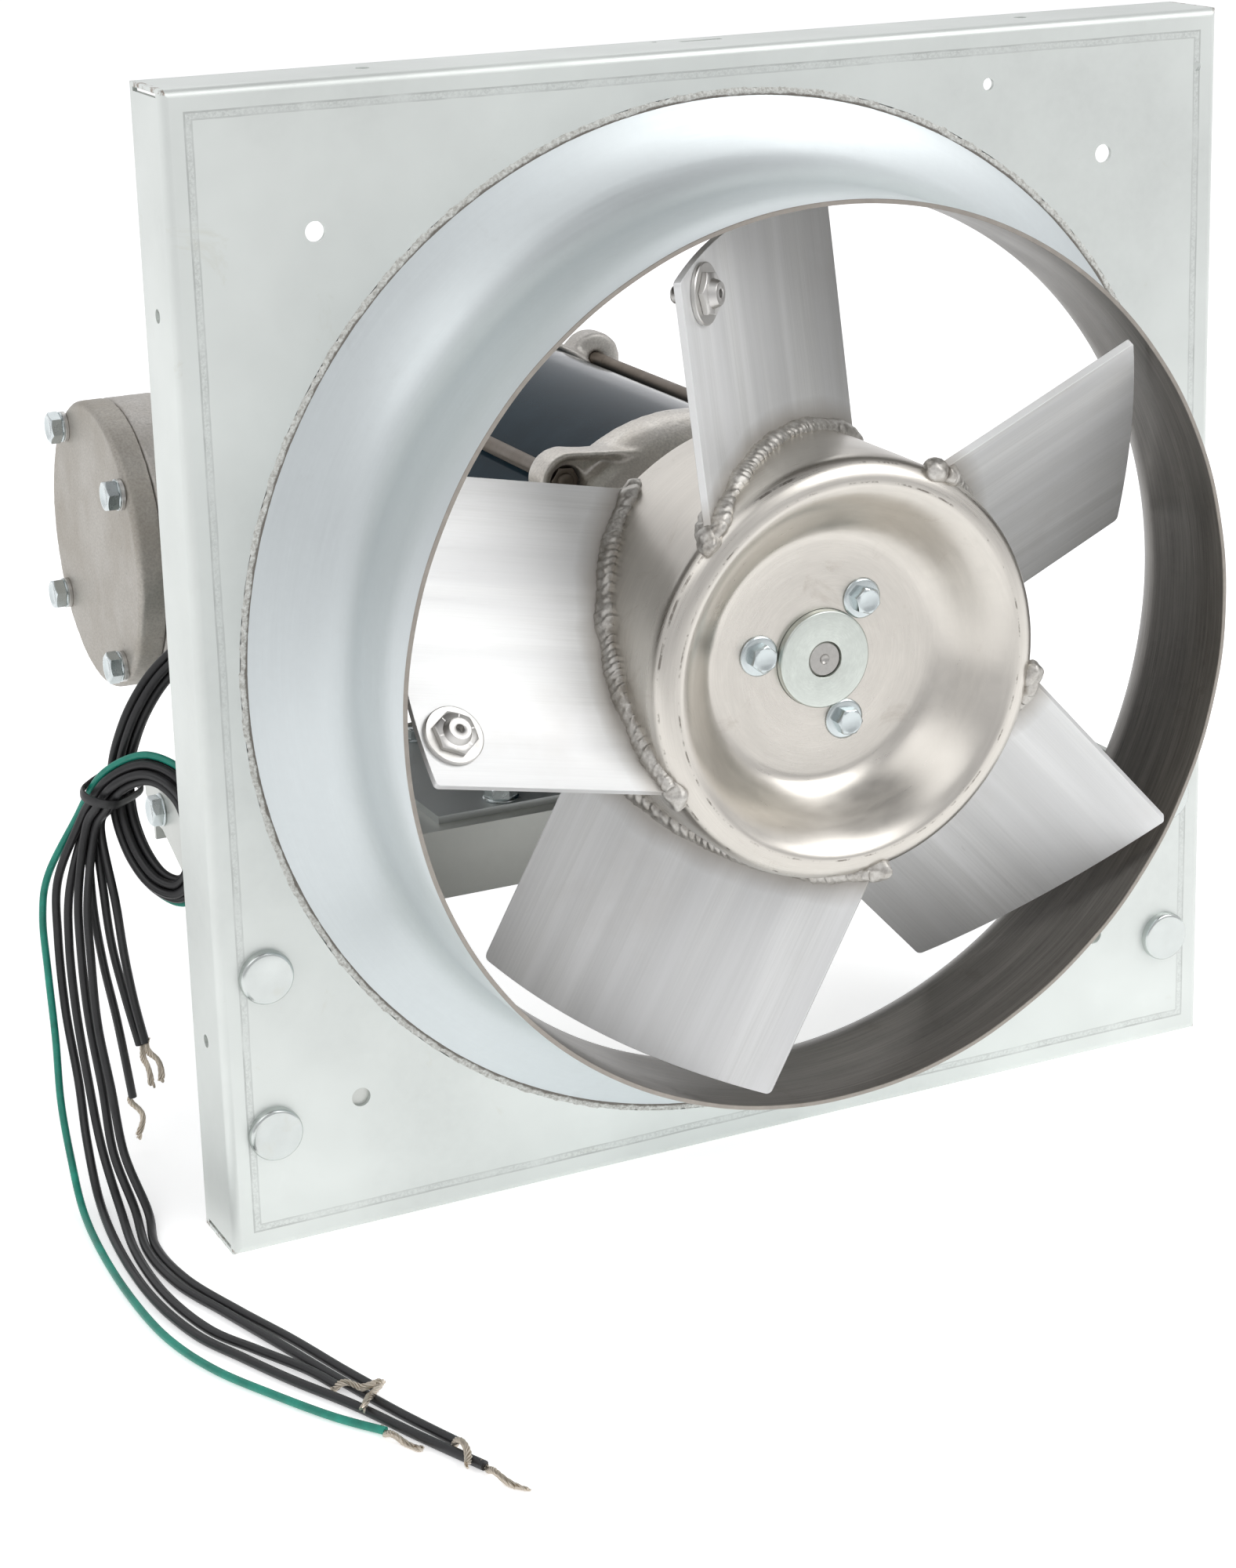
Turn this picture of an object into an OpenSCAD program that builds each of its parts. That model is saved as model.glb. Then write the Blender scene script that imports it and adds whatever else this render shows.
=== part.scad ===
// Direct-drive square-panel exhaust fan with an enclosed motor, millimetres, +Z up.
// The air leaves toward -Y through the spun ring; the motor stands behind, toward +Y.
// Zero is the centre of the rear rim of the panel, on the fan axis.

/* [Panel] */
// Side length of the square panel
panel_w = 410; // [380:1:440]
// Depth of the panel from its front face to the rear rim
panel_d = 31; // [20:1:45]
// Sheet thickness of the panel
panel_t = 1.6; // [1.2:0.1:3]
// Outer bend radius at the panel's front edges
panel_bend = 3; // [2:0.5:6]
// Distance of the corner mounting holes from the axis, along X and Z
face_hole_at = 154.8; // [145:0.1:165]
// Diameter of the corner mounting holes
face_hole_d = 7; // [5:0.5:9]
// Distance of the flange holes from the axis
flange_hole_at = 129; // [110:1:150]
// Diameter of the flange holes
flange_hole_d = 4.8; // [3:0.1:7]
// Depth of the flange holes behind the rear rim's opposite edge
flange_hole_y = -14; // [-20:1:-8]
// Width of the open slits at the flange corners
slit_w = 1.4; // [1:0.1:2.5]

/* [Ring] */
// Outer radius of the ring's straight throat
throat_r = 161; // [150:0.5:170]
// Sheet thickness of the ring
ring_t = 1.6; // [1.2:0.1:2.5]
// Axial place of the ring's front lip
lip_y = -105.5; // [-120:0.5:-95]
// Radius of the panel opening the ring comes through
opening_r = 190.2; // [189.5:0.1:192]
// Outer radius of the ring's lap flange behind the panel
lap_r = 193.5; // [192:0.5:194.5]

/* [Wheel] */
// Outer radius of the spun hub drum
hub_r = 75; // [70:0.5:80]
// Axial place of the open rear edge of the drum
hub_rear_y = -43; // [-50:1:-38]
// Wall thickness of the drum
hub_t = 2.5; // [2:0.1:3.5]
// Number of blades
blade_n = 5; // [5:1:5]
// Angle of the first blade, from +X toward +Z
blade_a0 = 96.5; // [90:0.5:100]
// Radius of the blade tips
tip_r = 153.3; // [150:0.1:156]
// Half width of a blade around the wheel
blade_half_t = 45.4; // [40:0.1:48]
// Half depth of a blade along the axis
blade_half_y = 32.1; // [28:0.1:35]
// Axial place of the blade middle
blade_mid_y = -78.2; // [-82:0.1:-75]
// Camber height of a blade
camber_h = 4.2; // [2:0.1:7]
// Sheet thickness of a blade
blade_t = 2.6; // [2:0.1:3.5]
// Radius at which the balance weights sit
weight_u = 138; // [130:1:144]
// Distance of the balance weights from the blade middle, along the chord
weight_c = -37.8; // [-42:0.1:-30]

/* [Motor] */
// Outer radius of the motor shell
shell_r = 64.5; // [60:0.5:70]
// Front end of the motor shell
shell_y0 = 17; // [15:1:25]
// Rear end of the motor shell
shell_y1 = 191; // [170:1:200]
// Wall thickness of the motor shell
shell_t = 2.5; // [2:0.1:3.5]
// Radius of the circle the tie rods stand on
rod_at = 70; // [69:0.5:75]
// Diameter of the tie rods
rod_d = 6.35; // [6:0.05:8]
// Angle of the first tie rod, from +X toward +Z
rod_a0 = 46; // [40:1:50]
// Diameter of the shaft in the hub
shaft_d = 12.7; // [12:0.1:16]
// Diameter of the bearing journals
journal_d = 17; // [17:1:20]
// Air gap between rotor and stator
air_gap = 0.4; // [0.3:0.1:0.8]

/* [Conduit box] */
// Axial place of the box centre
box_y = 169.5; // [160:0.5:172]
// Height of the box centre
box_z = 6; // [0:1:12]
// Radius of the box flange and cover
box_r = 56.5; // [50:0.5:60]
// Place of the cover's outer face along X
cover_x = -180; // [-185:1:-175]
// Thickness of the cover
cover_t = 11; // [8:1:14]
// Radius of the circle of the cover bolts
cover_bolt_at = 51; // [49:0.5:52]

/* [Support] */
// Top of the cross channels
channel_z = -84; // [-90:1:-80]
// Sheet thickness of the cross channels
channel_t = 2; // [1.5:0.1:3]
// Inner face of the side brackets along X
bracket_x = 170; // [165:1:175]
// Sheet thickness of the side brackets
bracket_t = 2.5; // [2:0.1:4]
// Thickness of the motor base plate
plate_t = 3; // [2:0.5:5]

/* [Leads] */
// Diameter of the black motor leads
lead_d = 3.3; // [2.5:0.1:4]
// Diameter of the green earth lead
green_d = 2.8; // [2:0.1:4]
// Spacing of the leads where they run as a bundle
lead_pitch = 3.6; // [3.4:0.1:4.5]

/* [Hidden] */
e = 0.5;
front_y = -panel_d;
half_chord = sqrt(blade_half_t * blade_half_t + blade_half_y * blade_half_y);
chord_a = atan2(blade_half_y, blade_half_t);
camber_r = (half_chord * half_chord + camber_h * camber_h) / (2 * camber_h);
zinc = [0.78, 0.79, 0.8];
galv = [0.74, 0.77, 0.75];
cast = [0.7, 0.69, 0.66];

// Path of the lead bundle from the box outlet, through the tie, round the loop and back
bundle = [
  [-130, 114, -5], [-130, 106, -5], [-132, 98, -6], [-138, 90, -7], [-148, 85, -9],
  [-160, 85, -12], [-172, 87, -17], [-182, 90, -26], [-190, 91, -37], [-195, 92, -48],
  [-198, 93, -59], [-199, 92, -70], [-199, 88, -81], [-197, 81, -92], [-193, 73, -100],
  [-187, 66, -103], [-182, 61, -98], [-180, 58, -89], [-180, 58, -77], [-182, 60, -66],
  [-187, 64, -58], [-193, 70, -55], [-199, 76, -57]];
// Place of each lead in the bundle, black 1 to 7 and then green
slots = [[0.5, 0.57], [1, -0.3], [-0.5, 0.57], [0.5, -1.16], [-1, -0.3], [-0.5, -1.16],
  [0, -0.3], [0, 1.44]];
// Free part of each lead after the tie; the long ones lie down at the panel's lower edge
free = [
  [[-207.4, 80.7, -60.4], [-211.9, 86, -68.6], [-216.2, 89, -77.6], [-225.7, 90, -98.7],
   [-229.5, 82, -117.8], [-231.5, 72, -142.8], [-232.4, 58, -165.8], [-234.4, 45, -184.9],
   [-236.3, 26, -201.3], [-240.3, -12, -203.2], [-240.8, -50.1, -203.2], [-236.2, -81.1, -203.2],
   [-227.7, -103.1, -203.3], [-218.1, -126.1, -203.3], [-206.1, -151.1, -203.3],
   [-195.1, -179.1, -203.3], [-184.1, -205.1, -203.3]],
  [[-207.1, 77.9, -62.8], [-211, 82.7, -70.6], [-215, 85.5, -79.3], [-221.2, 79.7, -102],
   [-224.3, 70.7, -121], [-226.3, 59.6, -143], [-226.4, 47.6, -166.9], [-227.5, 35.5, -186.9],
   [-226.5, 16.4, -201.3], [-231.6, -14.6, -203.2], [-230.1, -43.7, -203.2],
   [-222.2, -71.7, -203.2], [-213.7, -101.7, -203], [-204.8, -132.3, -203.3],
   [-195, -163.4, -203.3], [-186.4, -188.4, -202.9]],
  [[-204.6, 83.3, -60.5], [-208.9, 88.6, -68.8], [-212.8, 91.8, -78.1], [-222.7, 85.2, -100.9],
   [-226.8, 77.1, -119.8], [-228.8, 67.1, -141.8], [-229.8, 54.1, -164.7],
   [-230.3, 41.1, -185.7], [-230.9, 20.1, -201.3], [-235.9, -14.9, -202.8],
   [-236.4, -49.9, -202.8], [-231.4, -80.9, -202.7], [-221.9, -101.9, -202.7],
   [-211.9, -122.9, -202.6], [-207, -137.9, -202.6]],
  [[-204.4, 77.6, -65.1], [-208, 82, -72.3], [-212, 84.7, -80.9], [-219.4, 74.5, -104],
   [-222.5, 64.3, -123], [-224.6, 54.2, -144], [-224.7, 42.1, -165], [-224.8, 30.9, -186],
   [-222.9, 11.8, -201.3], [-228, -13.3, -203.3], [-226.1, -42.5, -203.3], [-217.7, -72.6, -203.3],
   [-208.8, -99.8, -203.3], [-201.5, -126, -203.3], [-196.5, -144.8, -202.7]],
  [[-201.8, 83, -62.9], [-205.6, 88, -70.8], [-209.5, 91.1, -80], [-212.5, 76.2, -103.3],
   [-211.8, 73.1, -122.2], [-208.8, 71.1, -142.1], [-204.9, 70.1, -162.1]],
  [[-201.7, 80.1, -65], [-205.1, 84.5, -72.1], [-208.9, 87.1, -80.7], [-209.7, 71.5, -104.6],
   [-208.8, 68.6, -123.7], [-206.8, 66.7, -142.8], [-203.9, 65.8, -159.9]],
  [[-204.6, 80.5, -62.8], [-208.5, 85.3, -70.7], [-212.8, 88.3, -79.6], [-215.8, 81, -104],
   [-214.4, 78, -129], [-211.3, 75, -154], [-208.2, 73, -184]],
  [[-207.4, 83.5, -58.2], [-212, 89.1, -67.1], [-216.2, 92.2, -76.5], [-228, 93.9, -97],
   [-233.1, 87.9, -111], [-235.1, 78.9, -130], [-237.1, 67.9, -152], [-240.1, 55.9, -172],
   [-241.1, 43.9, -190], [-243.1, 24.8, -201.9], [-246.1, -8.2, -203.5], [-247.2, -45.2, -203.5],
   [-245.2, -78.2, -203.5], [-238.2, -106.3, -203.5], [-226.2, -132.3, -203.5],
   [-214.3, -154.5, -203.5], [-203.2, -170.3, -203.5]]];
// Bare twisted end of each lead, past the end of its insulation
tips = [
  [[-182, -213, -203.6], [-178, -225, -203.8]],
  [[-187.3, -196.8, -200.2], [-190.1, -206, -202.6]],
  [[-202.5, -145.3, -199.7], [-196, -151.8, -197.9]],
  [[-200.2, -152.4, -200.2], [-208.7, -159.8, -201.5]],
  [[-202.9, 70, -170], [-201, 70, -180]],
  [[-199.9, 65.9, -167.9], [-199, 66, -177]],
  [[-206.1, 73, -193], [-206, 73, -202]],
  [[-201.1, -178.1, -203.7], [-197, -187, -203.8]]];

// ---- shared shapes ----

// Channel outline of a tray: flat front with rounded corners, open at y = 0
module tray_outline(w, d, r) {
  translate([-w / 2, r - d]) square([w, d - r]);
  translate([r - w / 2, -d]) square([w - 2 * r, d]);
  for (s = [-1, 1]) translate([s * (w / 2 - r), r - d]) circle(r = r, $fn = 32);
}

module tray(w, d, r) {
  intersection() {
    linear_extrude(height = w, center = true) tray_outline(w, d, r);
    rotate([0, 90, 0]) linear_extrude(height = w, center = true) tray_outline(w, d, r);
  }
}

// Cylinder along +Y from y0 to y1
module rod_y(r, y0, y1) {
  translate([0, y0, 0]) rotate([-90, 0, 0]) cylinder(r = r, h = y1 - y0, $fn = 48);
}

module tube_y(r1, r0, y0, y1) {
  difference() {
    rod_y(r1, y0, y1);
    rod_y(r0, y0 - e, y1 + e);
  }
}

// Solid of revolution about Y, outline points are [radius, y]
module turned(points) {
  rotate([-90, 0, 0]) rotate_extrude($fn = 96) polygon(points);
}

// Hexagon prism along +Z, across flats af
module hex(af, h) {
  cylinder(r = af / 2 / cos(30), h = h, $fn = 6);
}

// Hex head with its washer face at z = 0, shank toward -Z
module hex_bolt(af, head, face_d, d, long) {
  cylinder(r = face_d / 2, h = 1, $fn = 32);
  translate([0, 0, 1]) hex(af, head - 1);
  translate([0, 0, -long]) cylinder(r = d / 2, h = long + 0.5, $fn = 24);
}

module hex_nut(af, h, bore_d) {
  difference() {
    hex(af, h);
    translate([0, 0, -e]) cylinder(r = bore_d / 2, h = h + 2 * e, $fn = 24);
  }
}

module side_copy() {
  children();
  mirror([1, 0, 0]) children();
}

// ---- panel and ring ----

module panel() {
  color(galv) difference() {
    tray(panel_w, panel_d, panel_bend);
    translate([0, panel_t, 0])
      tray(panel_w - 2 * panel_t, panel_d, panel_bend - panel_t);
    rod_y(opening_r, front_y - e, front_y + panel_t + e);
    for (x = [-1, 1], z = [-1, 1]) {
      translate([x * face_hole_at, 0, z * face_hole_at])
        rod_y(face_hole_d / 2, front_y - e, front_y + panel_t + e);
      translate([x * (panel_w / 2 - panel_t / 2), -15, z * (panel_w / 2 - panel_t - slit_w / 2)])
        cube([panel_t + 0.02, 24, slit_w], center = true);
    }
    translate([105, 0, 184]) rod_y(2.25, front_y - e, front_y + panel_t + e);
    translate([196, 0, 184]) rod_y(1.75, front_y - e, front_y + panel_t + e);
    for (x = [-1, 1], z = [-102, -161]) translate([x * 187.5, 0, z])
      rod_y(4.15, front_y - e, front_y + panel_t + e);
    for (z = [-1, 1]) translate([0, flange_hole_y, z * flange_hole_at])
      rotate([0, 90, 0]) cylinder(r = flange_hole_d / 2, h = panel_w + 2, center = true, $fn = 32);
    for (x = [-1, 1]) translate([x * flange_hole_at, flange_hole_y, panel_w / 2 - panel_t - e])
      cylinder(r = flange_hole_d / 2, h = panel_t + 2 * e, $fn = 32);
    translate([-8, -10.5, panel_w / 2 - panel_t - e]) cube([16, 3, panel_t + 2 * e]);
    translate([-16, -4.5, panel_w / 2 - panel_t - e])
      cylinder(r = 1, h = panel_t + 2 * e, $fn = 24);
  }
}

// Outer and inner skins of the ring share one arc centre
arc_c = [throat_r + 25, -63.6];
function arc_pt(r, a) = [arc_c[0] - r * cos(a), arc_c[1] + r * sin(a)];
function cone_r(y) = 171.1 + (y + 43.4) * 1.355;
function skin(r) = [for (i = [0:8]) arc_pt(r, 53.6 * (8 - i) / 8)];
function back(p) = [for (i = [len(p) - 1:-1:0]) p[i]];

module venturi_ring() {
  y1 = front_y + panel_t;
  y2 = y1 + ring_t;
  color(galv) turned(concat([[lap_r, y1], [cone_r(y1), y1]], skin(25),
    [[throat_r, lip_y], [throat_r - ring_t, lip_y]], back(skin(25 + ring_t)),
    [[189.7, y2], [lap_r, y2]]));
}

module seam_sealant() {
  g = 0.08;
  color([0.72, 0.72, 0.68]) turned([[cone_r(-29.6) + g, -29.6], [cone_r(-31.9) + g, -31.9],
    [188.5, -32.2], [190.4, -31.8], [191.2, -31.05], [opening_r - g, -31.05],
    [opening_r - g, -29.6]]);
}

// ---- brackets, channels and base plate ----

module side_bracket() {
  difference() {
    union() {
      translate([bracket_x, 0, 0]) rotate([90, 0, 90]) linear_extrude(height = bracket_t)
        polygon([[-29.4, -96], [-18, -85], [149, -85], [149, -92], [-26.9, -172], [-29.4, -172]]);
      translate([0, -26.9, 0]) rotate([90, 0, 0]) linear_extrude(height = bracket_t)
        polygon([[bracket_x, -96], [182, -85], [200, -85], [200, -175], [138, -175], [138, -142],
          [bracket_x, -98]]);
    }
    for (z = [-102, -161]) translate([187.5, 0, z]) rod_y(4.15, -32, -24);
    for (y = [44, 129]) translate([bracket_x - 2, y, -92.5]) rotate([0, 90, 0])
      cylinder(r = 3.3, h = 8, $fn = 24);
  }
}

module side_bracket_right() {
  color(galv) side_bracket();
}

module side_bracket_left() {
  color(galv) mirror([1, 0, 0]) side_bracket();
}

module carriage_bolts() {
  color(zinc) side_copy() for (z = [-102, -161]) translate([187.5, front_y, z]) {
    turned([[0, 0], [0, -3.2], [8.4, -3.2], [9.3, -2.9], [9.75, -2], [9.75, 0]]);
    rod_y(4, -0.5, 17);
  }
}

module carriage_nuts() {
  color(zinc) side_copy() for (z = [-102, -161]) translate([187.5, -26.9, z])
    rotate([-90, 0, 0]) hex_nut(12.7, 6.5, 8);
}

// Channel open downward, with bolted end tabs
module cross_channel(y0, y1) {
  x = bracket_x;
  z = channel_z - channel_t;
  translate([-x, y0, z]) cube([2 * x, y1 - y0, channel_t]);
  for (y = [y0, y1 - channel_t]) translate([-x, y, channel_z - 27])
    cube([2 * x, channel_t, 27 - channel_t]);
  for (s = [-1, 1]) translate([s * (x - channel_t / 2), (y0 + y1) / 2, z - 9]) difference() {
    cube([channel_t, y1 - y0 - 2 * channel_t, 18], center = true);
    translate([0, 0, 2.5]) rotate([0, 90, 0])
      cylinder(r = 3.3, h = 2 * channel_t, center = true, $fn = 24);
  }
}

module cross_channel_front() {
  color(galv) difference() {
    cross_channel(29, 59);
    for (x = [-65, 65]) translate([x, 44, channel_z - 4]) cylinder(r = 3.3, h = 6, $fn = 24);
  }
}

module cross_channel_rear() {
  color(galv) difference() {
    cross_channel(109, 149);
    for (x = [-65, 65]) translate([x, 129, channel_z - 4]) cylinder(r = 3.3, h = 6, $fn = 24);
  }
}

module channel_bolts() {
  color(zinc) side_copy() for (y = [44, 129]) translate([bracket_x + bracket_t, y, -92.5])
    rotate([0, 90, 0]) hex_bolt(11, 5, 13, 6.3, 12);
}

module channel_nuts() {
  color(zinc) side_copy() for (y = [44, 129])
    translate([bracket_x - channel_t, y, -92.5]) rotate([0, -90, 0]) hex_nut(11, 5.2, 6.3);
}

module motor_base_plate() {
  color([0.8, 0.81, 0.82]) difference() {
    translate([-94, 36, channel_z]) cube([188, 109, plate_t]);
    for (x = [-65, 65], y = [44, 129]) translate([x, y, channel_z - 1])
      cylinder(r = 3.3, h = 6, $fn = 24);
    for (x = [-57, 57], y = [66.5, 101.5]) translate([x, y, channel_z - 1])
      cylinder(r = 3.3, h = 6, $fn = 24);
  }
}

module base_plate_bolts() {
  color(zinc) for (x = [-65, 65], y = [44, 129]) translate([x, y, channel_z + plate_t])
    hex_bolt(11, 5, 14, 6.3, 13);
}

module base_plate_nuts() {
  color(zinc) for (x = [-65, 65], y = [44, 129])
    translate([x, y, channel_z - channel_t - 5.2]) hex_nut(11, 5.2, 6.3);
}

// Saddle under the motor shell with two feet on the base plate
module motor_cradle() {
  z0 = channel_z + plate_t;
  color([0.32, 0.36, 0.4]) difference() {
    union() {
      intersection() {
        rod_y(shell_r + 3, 58, 110);
        translate([-36, 57, -70]) cube([72, 54, 14]);
      }
      for (s = [0, 1]) mirror([s, 0, 0]) translate([0, 110, 0]) rotate([90, 0, 0])
        linear_extrude(height = 52) polygon([[66, z0], [66, z0 + 3], [42, z0 + 3],
          [34.5, -50], [30, -50], [34.2, -60.5], [39, z0]]);
    }
    rod_y(shell_r, 50, 120);
    for (x = [-57, 57], y = [66.5, 101.5]) translate([x, y, z0 - 1])
      cylinder(r = 3.3, h = 6, $fn = 24);
  }
}

module cradle_bolts() {
  color(zinc) for (x = [-57, 57], y = [66.5, 101.5]) {
    translate([x, y, channel_z + plate_t + 3]) hex_bolt(11, 5, 13, 6, 14);
    translate([x, y, channel_z - 5.2]) hex_nut(11, 5.2, 6);
  }
}

// ---- motor ----

module motor_shell() {
  color([0.35, 0.4, 0.45]) difference() {
    tube_y(shell_r, shell_r - shell_t, shell_y0, shell_y1);
    translate([-90, box_y, box_z]) rotate([0, 90, 0]) cylinder(r = 11, h = 60, $fn = 32);
  }
}

// Lugs that carry the tie rods, from y0 to y1
module ears(y0, y1) {
  for (i = [0:3]) rotate([0, -rod_a0 - 90 * i, 0]) difference() {
    union() {
      translate([rod_at, 0, 0]) rod_y(11.5, y0, y1);
      translate([56, y0, -11.5]) cube([14, y1 - y0, 23]);
    }
    rod_y(62.5, y0 - e, y1 + e);
  }
}

module front_end_bell() {
  color(cast) difference() {
    union() {
      turned([[9.3, -25], [21, -25], [24, -20.5], [28, -17.5], [40, -13.8], [50, -10], [56, -6.9],
        [60.5, -3.2], [64, 1.2], [66.4, 6.2], [67.5, 11.5], [67.5, 20], [shell_r, 20],
        [shell_r, 17], [58, 17], [57, 8], [52, 1], [44, -4.5], [36, -8], [26, -11], [25, -2],
        [20, -2], [20, -14], [12, -14], [12, -20], [9.3, -20]]);
      ears(5.5, 16.4);
    }
    for (i = [0:3]) rotate([0, -rod_a0 - 90 * i, 0]) translate([rod_at, 0, 0]) {
      rod_y(rod_d / 2 + 0.1, 5, 21);
      rod_y(6, -12, 11.5);
    }
  }
}

module rear_end_bell() {
  color(cast) difference() {
    union() {
      turned([[0, 215], [30, 215], [53, 212], [60.5, 208.6], [62.4, 204.4], [67.5, 200.5], [67.5, 188],
        [shell_r, 188], [shell_r, 191], [60, 191], [58, 200], [50, 206], [26, 206],
        [26, 196], [20, 196], [20, 211], [0, 211]]);
      ears(191.6, 203.6);
    }
    for (i = [0:3]) rotate([0, -rod_a0 - 90 * i, 0]) translate([rod_at, 0, 0])
      rod_y(rod_d / 2 + 0.1, 186, 205);
  }
}

module tie_rods() {
  color([0.42, 0.38, 0.33]) for (i = [0:3]) rotate([0, -rod_a0 - 90 * i, 0])
    translate([rod_at, 0, 0]) rod_y(rod_d / 2, 6.2, 209.6);
}

module tie_rod_nuts() {
  color([0.42, 0.4, 0.37]) for (i = [0:3]) rotate([0, -rod_a0 - 90 * i, 0])
    translate([rod_at, 0, 0]) {
      translate([0, 7, 0]) rotate([-90, 0, 0]) hex_nut(9.5, 4.5, rod_d);
      translate([0, 203.6, 0]) rotate([-90, 0, 0]) hex_nut(11, 5, rod_d);
    }
}

module stator_core() {
  color([0.3, 0.31, 0.33]) difference() {
    tube_y(shell_r - shell_t, 36 + air_gap, 55, 155);
    for (i = [0:15]) rotate([0, i * 22.5 + 5, 0]) translate([41, 54, -3.2])
      cube([14, 102, 6.4]);
  }
}

module stator_windings() {
  color([0.6, 0.32, 0.12]) {
    for (i = [0:15]) rotate([0, i * 22.5 + 5, 0]) translate([41.2, 50, -3]) cube([13.6, 110, 6]);
    turned([[42, 36], [54, 36], [56, 39], [56, 52], [54, 55], [42, 55], [40, 52], [40, 39]]);
    turned([[42, 155], [54, 155], [56, 158], [56, 171], [54, 174], [42, 174], [40, 171],
      [40, 158]]);
  }
}

module thermal_protector() {
  color([0.15, 0.15, 0.16]) translate([-9, 28.5, 44]) cube([18, 7.5, 9]);
}

module wave_washer() {
  color(zinc) tube_y(19.6, 16.5, 208, 211);
}

// Bearing places along the shaft
bearing_y = [-14, 196];

module outer_races() {
  color(zinc) for (y = bearing_y) turned([[20, y], [20, y + 12], [17.2, y + 12],
    [17.2, y + 8.5], [17.6, y + 6], [17.2, y + 3.5], [17.2, y]]);
}

module bearing_balls() {
  color([0.85, 0.85, 0.86]) for (y = bearing_y, i = [0:6]) rotate([0, i * 360 / 7, 0])
    translate([14.35, y + 6, 0]) sphere(r = 3.15, $fn = 16);
}

module inner_races() {
  color(zinc) for (y = bearing_y) turned([[8.5, y], [11, y], [11, y + 12], [8.5, y + 12]]);
}

// ---- conduit box ----

// Turned about X through the box centre, outline points are [radius, x]
module turned_x(points) {
  translate([0, box_y, box_z]) rotate([0, 90, 0]) rotate_extrude($fn = 96) polygon(points);
}

module box_bolt_places() {
  for (i = [0:3]) translate([0, box_y, box_z]) rotate([55 + 90 * i, 0, 0])
    translate([0, cover_bolt_at, 0]) rotate([0, -90, 0]) children();
}

module conduit_box() {
  x0 = cover_x + cover_t;
  color(cast) difference() {
    union() {
      turned_x([[0, x0], [box_r, x0], [box_r, -150], [42, -142], [42, -106], [36, -100],
        [17, -98], [17, -50], [0, -50]]);
      translate([-130, box_y - 30, -5]) rod_y(17, -20.5, 20);
    }
    turned_x([[0, x0 - e], [45, x0 - e], [45, -156], [37, -150], [37, -108], [11, -106],
      [11, -40], [0, -40]]);
    translate([-130, 0, -5]) rod_y(8, 118, 145);
    rod_y(shell_r, 140, 200);
    translate([x0, 0, 0]) box_bolt_places() translate([0, 0, -12])
      cylinder(r = 3, h = 13, $fn = 24);
  }
}

module conduit_cover() {
  x0 = cover_x + cover_t;
  color(cast) difference() {
    turned_x([[0, cover_x], [box_r - 1.5, cover_x], [box_r, cover_x + 1.5], [box_r, x0],
      [44.8, x0], [44.8, x0 + 4], [0, x0 + 4]]);
    translate([x0, 0, 0]) box_bolt_places() translate([0, 0, -e])
      cylinder(r = 3.4, h = cover_t + 2 * e, $fn = 24);
  }
}

module cover_bolts() {
  color(zinc) translate([cover_x - 1.6, 0, 0]) box_bolt_places() hex_bolt(11, 5.4, 12, 6, 20);
}

module cover_lock_washers() {
  color(zinc) translate([cover_x, 0, 0]) box_bolt_places() difference() {
    cylinder(r = 6, h = 1.6, $fn = 32);
    translate([0, 0, -e]) cylinder(r = 3.15, h = 3, $fn = 24);
    translate([2, -0.5, -e]) cube([6, 1, 3]);
  }
}

module lead_bushing() {
  color([0.12, 0.12, 0.12]) translate([-130, 0, -5]) {
    rod_y(12, 114, 119);
    rod_y(8, 119, 133);
  }
}

// ---- wheel ----

module hub_drum() {
  color([0.8, 0.77, 0.72]) difference() {
    turned([[75, -43], [75, -106.5], [74.4, -109.8], [72.5, -112.5], [69.9, -114.4],
      [67, -115], [64.5, -114.2], [61, -111.5], [57, -106.5], [53, -101], [49.5, -96.5],
      [46, -93.4], [42, -92], [17.6, -92], [17.6, -89.5], [42, -89.5], [44.6, -90.4],
      [47.6, -93.2], [51, -97.8], [55, -103.4], [59.2, -108.8], [62.4, -111.4], [65, -112.3],
      [67, -112.5], [69.4, -112], [71, -110.6], [72, -109], [72.5, -106.5], [72.5, -43]]);
    for (a = [50, 170, 290]) rotate([0, -a, 0]) translate([25, 0, 0]) rod_y(3.3, -94, -88);
  }
}

// Puts children in a blade's own frame: X chord, Y through the sheet, Z outward
module blade_frame(k) {
  rotate([0, 72 * k - blade_a0, 0]) rotate([0, 90, 0]) translate([0, blade_mid_y, 0])
    rotate([0, 0, chord_a]) children();
}

// Puts children on the sheet at chord place c and radius u, Y through the sheet
module on_blade(k, c, u) {
  blade_frame(k) translate([0, camber_h - camber_r, u]) rotate([0, 0, asin(-c / camber_r)])
    translate([0, camber_r, 0]) children();
}

// Cambered strip of half thickness h and half width w
module strip(h, w) {
  intersection() {
    translate([0, camber_h - camber_r]) difference() {
      circle(r = camber_r + h, $fn = 180);
      circle(r = camber_r - h, $fn = 180);
    }
    translate([-w, -12]) square([2 * w, 24]);
  }
}

module blade(k) {
  color([0.76, 0.77, 0.78]) difference() {
    intersection() {
      blade_frame(k) linear_extrude(height = 170) strip(blade_t / 2, half_chord);
      rod_y(tip_r, -140, 0);
    }
    rod_y(hub_r, -140, 0);
    if (k == 0 || k == 4) on_blade(k, weight_c, weight_u) rod_y(3.1, -4, 4);
  }
}

module blade_1() {
  blade(0);
}

module blade_2() {
  blade(1);
}

module blade_3() {
  blade(2);
}

module blade_4() {
  blade(3);
}

module blade_5() {
  blade(4);
}

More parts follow.
